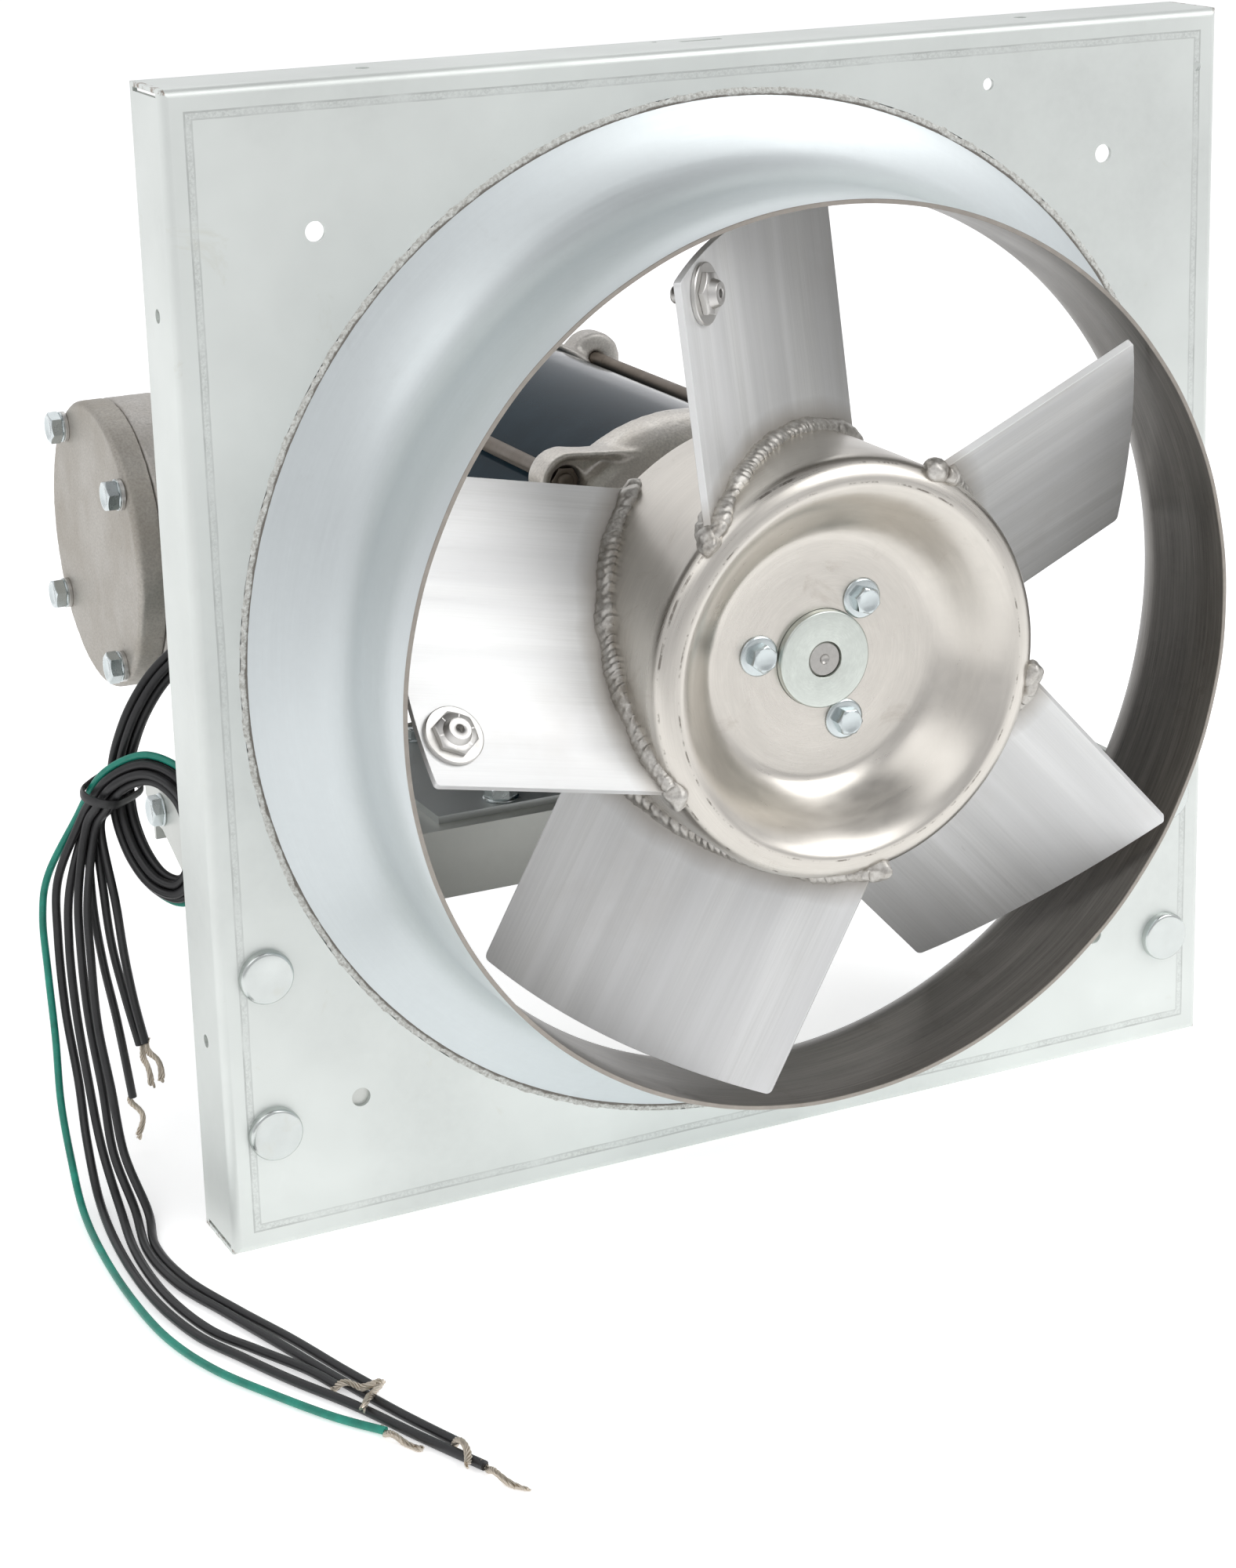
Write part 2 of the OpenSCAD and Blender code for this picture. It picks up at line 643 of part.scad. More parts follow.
module weld_beads() {
  color([0.8, 0.8, 0.78]) for (k = [0:4]) {
    difference() {
      intersection() {
        blade_frame(k) linear_extrude(height = 100) strip(4.6, half_chord - 2);
        rod_y(hub_r + 3.6, -140, 0);
      }
      rod_y(hub_r, -140, 0);
      blade_frame(k) linear_extrude(height = 110) strip(blade_t / 2, half_chord + 1);
    }
  }
}

module balance_washers() {
  color(zinc) for (k = [0, 4]) on_blade(k, weight_c, weight_u)
    tube_y(10.5, 3.1, -blade_t / 2 - 1.76, -blade_t / 2 - 0.16);
}

module balance_nuts() {
  color(zinc) for (k = [0, 4]) on_blade(k, weight_c, weight_u) {
    translate([0, -blade_t / 2 - 1.76, 0]) rotate([90, 0, 0]) difference() {
      union() {
        hex(14, 2.3);
        cylinder(r1 = 5.1, r2 = 3.9, h = 4.9, $fn = 32);
      }
      translate([0, 0, -1]) cylinder(r = 3, h = 5.3, $fn = 24);
      cylinder(r = 1.25, h = 10, $fn = 24);
    }
    translate([0, blade_t / 2, 0]) rotate([-90, 0, 0]) hex_nut(10, 5, 6);
  }
}

module balance_bolts() {
  color(zinc) for (k = [0, 4]) on_blade(k, weight_c, weight_u)
    rod_y(3, -blade_t / 2 - 6, blade_t / 2 + 8);
}

module hub_bushing() {
  color([0.72, 0.76, 0.7]) difference() {
    turned([[6.35, -95], [16.8, -95], [17.5, -94.3], [17.5, -89.5], [32, -89.5], [32, -82],
      [18, -82], [18, -58], [6.35, -58]]);
    for (a = [50, 170, 290]) rotate([0, -a, 0]) translate([25, 0, 0]) rod_y(3, -94, -80);
    translate([-1.6, -96, 5]) cube([3.2, 40, 3.2]);
  }
}

module hub_bolts() {
  color(zinc) for (a = [50, 170, 290]) rotate([0, -a, 0]) translate([25, -92, 0])
    rotate([90, 0, 0]) hex_bolt(8.7, 5.6, 14.4, 6, 12);
}

module shaft_key() {
  color(zinc) translate([-1.6, -93, 4.7]) cube([3.2, 33, 3.4]);
}

module motor_shaft() {
  color([0.66, 0.65, 0.62]) difference() {
    turned([[0, -94.2], [5.9, -94.2], [6.35, -93.7], [6.35, -28], [8.5, -28], [8.5, -2],
      [10.2, -2], [10.2, 20], [12, 20], [12, 190], [10.2, 190], [10.2, 196], [8.5, 196],
      [8.5, 209], [0, 209]]);
    translate([-1.6, -95, 4.7]) cube([3.2, 37, 3.4]);
  }
}

module rotor_core() {
  color([0.55, 0.56, 0.58]) {
    tube_y(36, 12, 55, 155);
    for (y = [47, 155]) tube_y(33, 25, y, y + 8);
  }
}

// ---- leads ----

function unit(v) = v / norm(v);
function tang(p, i) = unit(p[min(i + 1, len(p) - 1)] - p[max(i - 1, 0)]);
function flat_to(u, t) = unit(u - (u * t) * t);
function carry(p, u0) = [for (i = 0, u = flat_to(u0, tang(p, 0)); i < len(p);
  i = i + 1, u = flat_to(u, tang(p, min(i, len(p) - 1)))) u];
function bend(a, b, c, d, t) = 0.5 * (2 * b + (c - a) * t + (2 * a - 5 * b + 4 * c - d) * t * t
  + (3 * b - a - 3 * c + d) * t * t * t);
function smooth(p, n) = concat([for (i = [0:len(p) - 2], j = [0:n - 1])
  bend(p[max(i - 1, 0)], p[i], p[i + 1], p[min(i + 2, len(p) - 1)], j / n)],
  [p[len(p) - 1]]);

bundle_u = carry(bundle, [0, 0, 1]);
function lead_points(k) = concat([for (i = [0:len(bundle) - 1]) bundle[i]
  + lead_pitch * (slots[k][0] * bundle_u[i]
  + slots[k][1] * cross(tang(bundle, i), bundle_u[i]))], free[k]);

// Round tube through points p with the radii r, n sides
module tube(p, r, n) {
  u = carry(p, [0.1, 0.2, 1]);
  m = len(p);
  pts = [for (i = [0:m - 1], j = [0:n - 1]) p[i] + r[i] * (cos(360 * j / n) * u[i]
    + sin(360 * j / n) * cross(tang(p, i), u[i]))];
  walls = [for (i = [0:m - 2], j = [0:n - 1], s = [0, 1]) s == 0
    ? [i * n + j, (i + 1) * n + j, i * n + (j + 1) % n]
    : [i * n + (j + 1) % n, (i + 1) * n + j, (i + 1) * n + (j + 1) % n]];
  ends = [[for (j = [0:n - 1]) j], [for (j = [n - 1:-1:0]) (m - 1) * n + j]];
  polyhedron(pts, concat(walls, ends), convexity = 8);
}

// Insulated lead and its bare end as one solid
module lead(k, d) {
  run = smooth(lead_points(k), 2);
  last = run[len(run) - 1];
  tip = tips[k];
  all_p = concat(run, [last + unit(tip[0] - last) * 0.2], tip);
  tube(all_p, concat([for (i = run) d / 2], [0.9, 0.9, 0.7]), 8);
}

module lead_black_1() {
  color([0.08, 0.08, 0.08]) lead(0, lead_d);
}

module lead_black_2() {
  color([0.08, 0.08, 0.08]) lead(1, lead_d);
}

module lead_black_3() {
  color([0.08, 0.08, 0.08]) lead(2, lead_d);
}

module lead_black_4() {
  color([0.08, 0.08, 0.08]) lead(3, lead_d);
}

module lead_black_5() {
  color([0.08, 0.08, 0.08]) lead(4, lead_d);
}

module lead_black_6() {
  color([0.08, 0.08, 0.08]) lead(5, lead_d);
}

module lead_black_7() {
  color([0.08, 0.08, 0.08]) lead(6, lead_d);
}

module lead_green() {
  color([0.05, 0.45, 0.36]) lead(7, green_d);
}

// Twisted wire tie round both passes of the bundle
module harness_tie() {
  color([0.06, 0.06, 0.06]) translate([-202.95, 88.65, -66.65]) rotate([0, 0, 223.2])
    rotate([-20.5, 0, 0]) for (s = [0, 180]) rotate([0, 0, s]) {
      translate([6.4, 0, 0]) rotate([0, 0, -90]) rotate_extrude(angle = 180, $fn = 48)
        translate([8.2, 0]) circle(r = 1.2, $fn = 16);
      translate([-6.4, 8.2, 0]) rotate([0, 90, 0]) cylinder(r = 1.2, h = 12.8, $fn = 16);
    }
}

panel();
venturi_ring();
seam_sealant();
side_bracket_left();
side_bracket_right();
carriage_bolts();
carriage_nuts();
cross_channel_front();
cross_channel_rear();
channel_bolts();
channel_nuts();
motor_base_plate();
base_plate_bolts();
base_plate_nuts();
motor_cradle();
cradle_bolts();
motor_shell();
front_end_bell();
rear_end_bell();
tie_rods();
tie_rod_nuts();
stator_core();
stator_windings();
thermal_protector();
wave_washer();
outer_races();
bearing_balls();
inner_races();
conduit_box();
conduit_cover();
cover_bolts();
cover_lock_washers();
lead_bushing();
hub_drum();
blade_1();
blade_2();
blade_3();
blade_4();
blade_5();
weld_beads();
balance_washers();
balance_nuts();
balance_bolts();
hub_bushing();
hub_bolts();
shaft_key();
motor_shaft();
rotor_core();
lead_black_1();
lead_black_2();
lead_black_3();
lead_black_4();
lead_black_5();
lead_black_6();
lead_black_7();
lead_green();
harness_tie();
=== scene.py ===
import random
from math import acos, asin, atan2, cos, hypot, pi, radians, sin, sqrt, tan
import bpy
import bmesh
import numpy as np
from mathutils import Matrix, Vector, noise as pn


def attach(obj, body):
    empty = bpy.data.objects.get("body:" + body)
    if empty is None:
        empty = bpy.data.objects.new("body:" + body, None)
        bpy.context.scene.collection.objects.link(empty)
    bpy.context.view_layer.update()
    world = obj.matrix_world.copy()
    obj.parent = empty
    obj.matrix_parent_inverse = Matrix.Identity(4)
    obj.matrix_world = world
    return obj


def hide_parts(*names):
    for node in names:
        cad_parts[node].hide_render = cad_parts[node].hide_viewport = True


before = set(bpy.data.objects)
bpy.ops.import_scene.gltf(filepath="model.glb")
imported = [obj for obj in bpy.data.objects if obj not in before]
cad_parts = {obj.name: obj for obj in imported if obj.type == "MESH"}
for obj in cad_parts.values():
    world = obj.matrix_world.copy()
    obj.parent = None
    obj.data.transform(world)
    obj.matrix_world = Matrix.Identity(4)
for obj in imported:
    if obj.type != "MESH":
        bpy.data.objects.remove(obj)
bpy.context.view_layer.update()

scene = bpy.context.scene
scene.view_settings.view_transform = "Standard"
mm = 0.001
floor_z = -205.2   # height of the floor, mm
rod_at = 70        # radius of the tie rods' circle, mm
rod_turn = 46      # angle of the first tie rod, degrees
panel_y = -31      # front face of the panel, mm
dish_y = -92.0     # flat bottom of the hub's dish, mm


def new_object(name, data):
    o = bpy.data.objects.new(name, data)
    scene.collection.objects.link(o)
    return o


# ---- camera
cam_at = (-0.5243, -1.0477, 0.3303)
yaw, pitch, roll = (radians(a) for a in (26.498, -15.746, -1.271))
fwd = Vector((sin(yaw) * cos(pitch), cos(yaw) * cos(pitch), sin(pitch)))
right = Vector((cos(yaw), -sin(yaw), 0.0))
up = right.cross(fwd)
cr, sr = cos(roll), sin(roll)
cam_x, cam_y = right * cr + up * sr, up * cr - right * sr
cam = bpy.data.cameras.new("camera")
cam.sensor_fit = "VERTICAL"
cam.sensor_height = 36
cam.lens = 4189.1 / 2000 * cam.sensor_height   # focal length and picture height in pixels
cam.shift_x = -0.05
cam.shift_y = -0.12
cam.clip_start = 0.05
cam_obj = new_object("camera", cam)
cam_m = Matrix((cam_x, cam_y, -fwd)).transposed().to_4x4()
cam_m.translation = cam_at
cam_obj.matrix_world = cam_m
scene.camera = cam_obj


# ---- materials
def times(tone, k):
    """A tone made darker or lighter, no channel above 1."""
    return tuple(min(1, v * k) for v in tone)


class Nodes:
    """Short calls that add nodes to a tree and give back their output."""

    def __init__(self, tree):
        self.t = tree

    def node(self, kind, **props):
        n = self.t.nodes.new(kind)
        for k, v in props.items():
            setattr(n, k, v)
        return n

    def link(self, a, b):
        self.t.links.new(a, b)

    def put(self, socket, value):
        if isinstance(value, bpy.types.NodeSocket):
            self.link(value, socket)
        else:
            socket.default_value = value

    def math(self, op, a, b=0.0, c=0.0):
        n = self.node("ShaderNodeMath", operation=op)
        for i, v in enumerate((a, b, c)):
            if i < len(n.inputs):
                self.put(n.inputs[i], v)
        return n.outputs[0]

    def mul(self, a, b):
        return self.math("MULTIPLY", a, b)

    def add(self, a, b):
        return self.math("ADD", a, b)

    def xyz(self, vec=None):
        n = self.node("ShaderNodeSeparateXYZ")
        self.link(vec or self.obj, n.inputs[0])
        return n.outputs[0], n.outputs[1], n.outputs[2]

    def vec(self, x, y, z):
        n = self.node("ShaderNodeCombineXYZ")
        for i, v in enumerate((x, y, z)):
            self.put(n.inputs[i], v)
        return n.outputs[0]

    def span(self, v, a, b, lo=0.0, hi=1.0):
        n = self.node("ShaderNodeMapRange")
        self.put(n.inputs["Value"], v)
        for k, x in (("From Min", a), ("From Max", b), ("To Min", lo), ("To Max", hi)):
            n.inputs[k].default_value = x
        return n.outputs[0]

    def mix(self, fac, a, b, how="MIX"):
        n = self.node("ShaderNodeMix", data_type="RGBA", blend_type=how)
        self.put(n.inputs[0], fac)
        for i, v in ((6, a), (7, b)):
            self.put(n.inputs[i], v if isinstance(v, bpy.types.NodeSocket) else (*v, 1))
        return n.outputs[2]


class Mat(Nodes):
    """One node material round a Principled shader."""

    def __init__(self, name, color=(0.5, 0.5, 0.5), metallic=0.0, rough=0.5, **sockets):
        self.m = bpy.data.materials.new(name)
        self.m.use_nodes = True
        super().__init__(self.m.node_tree)
        self.b = self.t.nodes["Principled BSDF"]
        self.b.inputs["Base Color"].default_value = (*color, 1)
        self.b.inputs["Metallic"].default_value = metallic
        self.b.inputs["Roughness"].default_value = rough
        for k, v in sockets.items():
            self.b.inputs[k.replace("_", " ")].default_value = v
        self.obj = self.node("ShaderNodeTexCoord").outputs["Object"]
        self.height = None

    def noise(self, scale, detail=3.0, rough=0.55, vec=None, warp=0.0):
        n = self.node("ShaderNodeTexNoise")
        self.link(vec or self.obj, n.inputs["Vector"])
        n.inputs["Scale"].default_value = scale
        n.inputs["Detail"].default_value = detail
        n.inputs["Roughness"].default_value = rough
        n.inputs["Distortion"].default_value = warp
        return n.outputs["Fac"]

    def spots(self, c, tone, scale, detail, a, b, amount, rough=0.55, warp=0.0):
        """Lays a second tone over c where a noise runs from a to b."""
        n = self.noise(scale, detail, rough, warp=warp)
        return self.mix(self.span(n, a, b, 0.0, amount), c, tone)

    def color(self, c):
        self.link(c, self.b.inputs["Base Color"])

    def rough(self, r):
        self.link(r, self.b.inputs["Roughness"])

    def bump(self, h, strength, dist):
        n = self.node("ShaderNodeBump")
        n.inputs["Strength"].default_value = strength
        n.inputs["Distance"].default_value = dist
        self.link(h, n.inputs["Height"])
        if self.height is not None:
            self.link(self.height, n.inputs["Normal"])
        self.height = n.outputs[0]
        self.link(self.height, self.b.inputs["Normal"])

    def radius(self, x, z):
        """Distance from the fan axis."""
        return self.math("SQRT", self.add(self.mul(x, x), self.mul(z, z)))

    def polar(self, k_ang, k_r, k_y):
        """Coordinates stretched round the fan axis, for turned and brushed surfaces."""
        x, y, z = self.xyz()
        r = self.radius(x, z)
        cx = self.math("DIVIDE", x, self.add(r, 0.0001))
        cz = self.math("DIVIDE", z, self.add(r, 0.0001))
        a = self.add(self.mul(r, k_r), self.mul(y, k_y))
        return self.vec(self.mul(cx, k_ang), self.mul(cz, k_ang), a)


def sheet_zinc(name, tone, rough, lines=False):
    """Galvanised sheet: faint cloudy mottle, fine grain, a few stains."""
    k = Mat(name, tone, 0.68, rough)
    warm = (tone[0] * 0.83, tone[1] * 0.79, tone[2] * 0.70)
    c = k.mix(k.span(k.noise(9, 4), 0.32, 0.68), times(tone, 0.86), times(tone, 1.07))
    c = k.spots(c, tone, 260, 2, 0.25, 0.75, 0.35)
    c = k.spots(c, warm, 34, 6, 0.64, 0.78, 0.5, 0.7, warp=1.0)
    c = k.spots(c, warm, 420, 3, 0.70, 0.78, 0.45, 0.7)
    if lines:
        # Two scribed lines with a grainy band between them, and rust in the corner slits
        x, y, z = k.xyz()
        ax, az = k.math("ABSOLUTE", x), k.math("ABSOLUTE", z)
        m = k.add(k.math("MAXIMUM", ax, az), k.span(k.noise(30, 3), 0, 1, -0.0004, 0.0004))
        line_in = k.mul(k.math("COMPARE", m, 0.1948, 0.00028), 0.7)
        hit = k.add(k.math("COMPARE", m, 0.1972, 0.00032), line_in)
        grain = k.span(k.noise(900, 3, 0.7), 0.40, 0.62, 0.1, 0.7)
        hit = k.math("MAXIMUM", hit, k.mul(k.math("COMPARE", m, 0.1960, 0.0012), grain))
        face = k.math("LESS_THAN", y, -0.0308)
        hit = k.mul(k.mul(hit, face), k.span(k.noise(60, 4, 0.7), 0.3, 0.6, 0.25, 0.85))
        c = k.mix(hit, c, times(tone, 0.62))
        corner = k.math("GREATER_THAN", k.math("MINIMUM", ax, az), 0.2030)
        rust = k.mul(corner, k.span(k.noise(260, 4, 0.7), 0.48, 0.62, 0.0, 0.8))
        c = k.mix(rust, c, (0.20, 0.13, 0.09))
    k.color(c)
    k.rough(k.span(k.noise(14, 5), 0.3, 0.7, rough - 0.07, rough + 0.08))
    k.bump(k.noise(700, 2), 0.10, 0.00008)
    k.bump(k.noise(28, 3), 0.12, 0.0006)
    return k


M_panel = sheet_zinc("panel_zinc", (0.71, 0.74, 0.715), 0.46, True)
M_bracket = sheet_zinc("bracket_zinc", (0.60, 0.615, 0.585), 0.40)
M_plate = sheet_zinc("plate_zinc", (0.56, 0.585, 0.58), 0.38)


def turned_metal(name, tone, rough, k_ang, k_line, depth, stain=0.25, metallic=1.0, streak=0.12):
    """Spun metal with streaks that run round the axis."""
    k = Mat(name, tone, metallic, rough)
    fine = k.noise(1.0, 4, 0.65, k.polar(k_ang, k_line, k_line))
    wide = k.noise(1.0, 3, 0.5, k.polar(k_ang * 0.5, k_line * 0.12, k_line * 0.12))
    c = k.mix(k.span(fine, 0.3, 0.7), times(tone, 1 - streak), times(tone, 1 + streak * 0.7))
    c = k.mix(k.span(wide, 0.35, 0.65, 0.0, 0.5), c, times(tone, 1 - streak * 1.4))
    c = k.spots(c, times(tone, 0.93), 380, 2, 0.3, 0.7, 0.3)
    brown = (tone[0] * 0.55, tone[1] * 0.50, tone[2] * 0.45)
    c = k.spots(c, brown, 38, 6, 0.60, 0.80, stain, 0.72, warp=0.8)
    k.color(c)
    k.rough(k.span(k.add(fine, k.noise(22, 4)), 0.6, 1.4, rough - 0.06, rough + 0.10))
    k.bump(fine, 0.35, depth)
    k.bump(k.noise(45, 3), 0.15, 0.0004)
    return k


M_ring = turned_metal("ring_zinc", (0.643, 0.685, 0.694), 0.40, 5, 700, 0.00003, 0.15, 0.68, 0.03)
# Inner faces of the same sheet, much darker than the outer: partly the sheet's own tone, partly painted
# shade of the throat
M_ring_in_painted_shade = turned_metal("ring_inside_painted_shade", (0.215, 0.203, 0.187), 0.36, 4, 1100, 0.00012, 0.7, 0.9, 0.34)
M_lip = turned_metal("ring_lip", (0.38, 0.35, 0.315), 0.5, 60, 300, 0.0001, 0.7, 0.9)
M_hub = turned_metal("hub_spun", (0.655, 0.625, 0.575), 0.29, 4, 1500, 0.00004, 0.55, 1.0, 0.085)


def rim_marks(k, tone):
    """Adds broken dark rub lines on both sides of the drum's rolled rim."""
    x, y, z = k.xyz()
    r = k.radius(x, z)
    r = k.add(r, k.span(k.noise(18, 3), 0, 1, -0.0006, 0.0006))
    brk = k.span(k.noise(95, 4, 0.75), 0.50, 0.60)
    hit = k.add(k.math("COMPARE", r, 0.0668, 0.00030), k.math("COMPARE", r, 0.0731, 0.00028))
    hit = k.mul(k.mul(hit, brk), k.math("LESS_THAN", y, -0.1085))
    root = k.b.inputs["Base Color"].links[0].from_socket
    k.color(k.mix(k.mul(hit, 0.75), root, tone))


rim_marks(M_hub, (0.16, 0.14, 0.12))
M_bush = turned_metal("bushing_zinc", (0.66, 0.70, 0.655), 0.34, 6, 2500, 0.00003, 0.2)
M_shaft = turned_metal("shaft_steel", (0.46, 0.45, 0.43), 0.36, 6, 2500, 0.00003, 0.5)


def blade_metal():
    """Sheet aluminium with long faint streaks from root to tip, stained beside the welds."""
    k = Mat("blade_sheet", (0.80, 0.805, 0.80), 0.52, 0.40)
    uv = k.node("ShaderNodeUVMap", uv_map="UVMap").outputs[0]
    u, v, _ = k.xyz(uv)
    fine = k.noise(1.0, 5, 0.7, k.vec(k.mul(u, 14), k.mul(v, 1300), 0.0))
    wide = k.noise(1.0, 4, 0.6, k.vec(k.mul(u, 5), k.mul(v, 110), 3.0))
    band = k.noise(1.0, 2, 0.5, k.vec(k.mul(u, 3), k.mul(v, 42), 9.0))
    c = k.mix(k.span(fine, 0.3, 0.7), (0.725, 0.73, 0.72), (0.84, 0.845, 0.835))
    c = k.mix(k.span(wide, 0.45, 0.68, 0.0, 0.75), c, (0.92, 0.925, 0.925))
    c = k.mix(k.span(band, 0.40, 0.60, 0.0, 0.55), c, (0.65, 0.655, 0.655))
    c = k.spots(c, (0.64, 0.625, 0.60), 26, 4, 0.55, 0.75, 0.35, 0.6)
    c = k.spots(c, (0.38, 0.37, 0.36), 90, 5, 0.68, 0.85, 0.35, 0.7, warp=0.6)
    x, y, z = k.xyz()
    r = k.radius(x, z)
    r = k.add(r, k.span(k.noise(60, 3), 0, 1, -0.0025, 0.0025))
    c = k.mix(k.span(r, 0.0795, 0.0865, 0.65, 0.0), c, (0.40, 0.365, 0.32))
    k.color(c)
    k.rough(k.span(k.add(fine, wide), 0.6, 1.4, 0.38, 0.52))
    k.bump(fine, 0.30, 0.00004)
    k.bump(k.noise(1.0, 3, 0.6, k.vec(k.mul(u, 60), k.mul(v, 8), 0.0)), 0.10, 0.0003)
    return k


M_blade = blade_metal()


def weld_metal():
    k = Mat("weld", (0.55, 0.54, 0.51), 0.92, 0.42)
    n = k.noise(420, 4, 0.7)
    c = k.mix(k.span(n, 0.3, 0.7), (0.40, 0.38, 0.35), (0.68, 0.665, 0.63))
    c = k.spots(c, (0.27, 0.245, 0.21), 70, 5, 0.50, 0.66, 0.7, 0.75)
    k.color(c)
    k.rough(k.span(n, 0.3, 0.7, 0.34, 0.6))
    k.bump(n, 0.5, 0.00015)
    return k


M_weld = weld_metal()


def zinc_bright(name, tone, rough, scale=160, uneven=0.12):
    """Plated steel: small changes of tone, a few yellow stains, uneven gloss."""
    k = Mat(name, tone, 1.0, rough)
    n = k.noise(scale, 4, 0.6)
    c = k.mix(k.span(n, 0.3, 0.7), times(tone, 0.93), times(tone, 1.05))
    c = k.spots(c, (0.50, 0.47, 0.36), 45, 5, 0.60, 0.78, 0.25, 0.7)
    k.color(c)
    k.rough(k.span(k.noise(90, 4), 0.3, 0.7, rough - 0.4 * uneven, rough + uneven))
    k.bump(k.noise(600, 2), 0.6 * uneven, 0.00004)
    return k


M_zinc_head = zinc_bright("head_zinc", (0.60, 0.63, 0.615), 0.20, 60, 0.05)
M_zinc = zinc_bright("bolt_zinc", (0.585, 0.635, 0.64), 0.20)
M_zinc_dull = zinc_bright("washer_zinc", (0.60, 0.59, 0.57), 0.33)
# Rods and their nuts toned dark brown, partly as painted shade of the lug holes the nuts sit in
M_rod = zinc_bright("rod_steel", (0.20, 0.17, 0.14), 0.45)
M_core = zinc_bright("core_steel", (0.25, 0.26, 0.28), 0.45)
M_bearing = zinc_bright("bearing_steel", (0.66, 0.66, 0.67), 0.18)


def cast_metal(name, tone, rough):
    """Sand-cast aluminium: fine grain, soft blotches, small pits."""
    k = Mat(name, tone, 0.72, rough)
    fine = k.noise(1100, 3, 0.6)
    blot = k.noise(30, 5, 0.65)
    c = k.mix(k.span(fine, 0.3, 0.7), times(tone, 0.80), times(tone, 1.12))
    c = k.mix(k.span(blot, 0.42, 0.70, 0.0, 0.4), c, (tone[0] * 0.80, tone[1] * 0.75, tone[2] * 0.68))
    c = k.spots(c, (0.27, 0.25, 0.22), 320, 2, 0.70, 0.76, 0.6, 0.5)
    k.color(c)
    k.rough(k.span(blot, 0.3, 0.7, rough - 0.06, rough + 0.12))
    k.bump(fine, 0.45, 0.00018)
    k.bump(k.noise(150, 3), 0.3, 0.0004)
    return k


M_cast = cast_metal("cast_box", (0.52, 0.50, 0.47), 0.50)
M_cast_cover = cast_metal("cast_cover", (0.44, 0.418, 0.38), 0.50)
M_cast_bell = cast_metal("cast_bell", (0.73, 0.70, 0.65), 0.34)


def paint(name, tone, rough):
    k = Mat(name, tone, 0.0, rough, IOR=1.17)
    n = k.noise(60, 5, 0.65)
    c = k.mix(k.span(n, 0.35, 0.7), tone, times(tone, 1.25))
    c = k.spots(c, (0.06, 0.06, 0.06), 500, 2, 0.68, 0.76, 0.25)
    k.color(c)
    k.rough(k.span(n, 0.3, 0.7, rough - 0.04, rough + 0.1))
    k.bump(k.noise(900, 2), 0.05, 0.00003)
    return k


M_paint = paint("motor_paint", (0.009, 0.025, 0.037), 0.08)


def plastic(name, tone, rough, ripple=0.12):
    k = Mat(name, tone, 0.0, rough)
    n = k.noise(120, 4, 0.6)
    c = k.mix(k.span(n, 0.3, 0.7), times(tone, 0.75), times(tone, 1.3))
    c = k.spots(c, tuple(min(1, v * 2 + 0.03) for v in tone), 900, 2, 0.66, 0.76, 0.35)
    k.color(c)
    k.rough(k.span(n, 0.3, 0.7, rough - 0.08, rough + 0.12))
    k.bump(k.noise(700, 3), ripple, 0.00012)
    return k


M_black = plastic("lead_black", (0.020, 0.020, 0.021), 0.36)
M_green = plastic("lead_green", (0.012, 0.235, 0.170), 0.36)
M_rubber = plastic("rubber", (0.022, 0.022, 0.022), 0.6, 0.3)
M_case = plastic("protector", (0.03, 0.03, 0.032), 0.5)
M_copper = zinc_bright("windings", (0.52, 0.24, 0.09), 0.35)
M_strand = zinc_bright("strand_tinned", (0.56, 0.50, 0.42), 0.32)


def sealant():
    """Thin bead: a dark brown line of painted shade in the gap against the ring, pale crumbs toward the
    panel.
    """
    k = Mat("sealant", (0.50, 0.49, 0.46), 0.15, 0.65)
    n = k.noise(700, 5, 0.75)
    c = k.mix(k.span(n, 0.38, 0.60), (0.36, 0.35, 0.32), (0.68, 0.69, 0.66))
    x, y, z = k.xyz()
    r = k.radius(x, z)
    r = k.add(r, k.span(k.noise(150, 4, 0.7), 0.25, 0.75, -0.0007, 0.0007))
    # Painted shade: dark line along the bead's inner edge, in the gap where it meets the ring
    c = k.mix(k.span(r, 0.1881, 0.1886, 0.85, 0.0), c, (0.13, 0.11, 0.09))
    k.color(c)
    k.rough(k.span(n, 0.3, 0.7, 0.45, 0.75))
    k.bump(n, 0.7, 0.0004)
    return k


M_seal = sealant()


# ---- mesh helpers
def sharp_bevel(o, width, from_angle):
    b = o.modifiers.new("bevel", "BEVEL")
    b.width = width
    b.segments = 2
    b.limit_method = "ANGLE"
    b.angle_limit = radians(from_angle)


def finish_mesh(name, me, mats, body, stands_for=(), angle=32, bevel=0.0):
    """Makes the object, shades it, ties it to its body and hides the CAD nodes it replaces."""
    for p in me.polygons:
        p.use_smooth = True
    me.set_sharp_from_angle(angle=radians(angle))
    o = new_object(name, me)
    for m in mats if isinstance(mats, list) else [mats]:
        me.materials.append(m.m)
    if bevel:
        sharp_bevel(o, bevel, 30)
    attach(o, body)
    if stands_for:
        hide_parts(*stands_for)
    return o


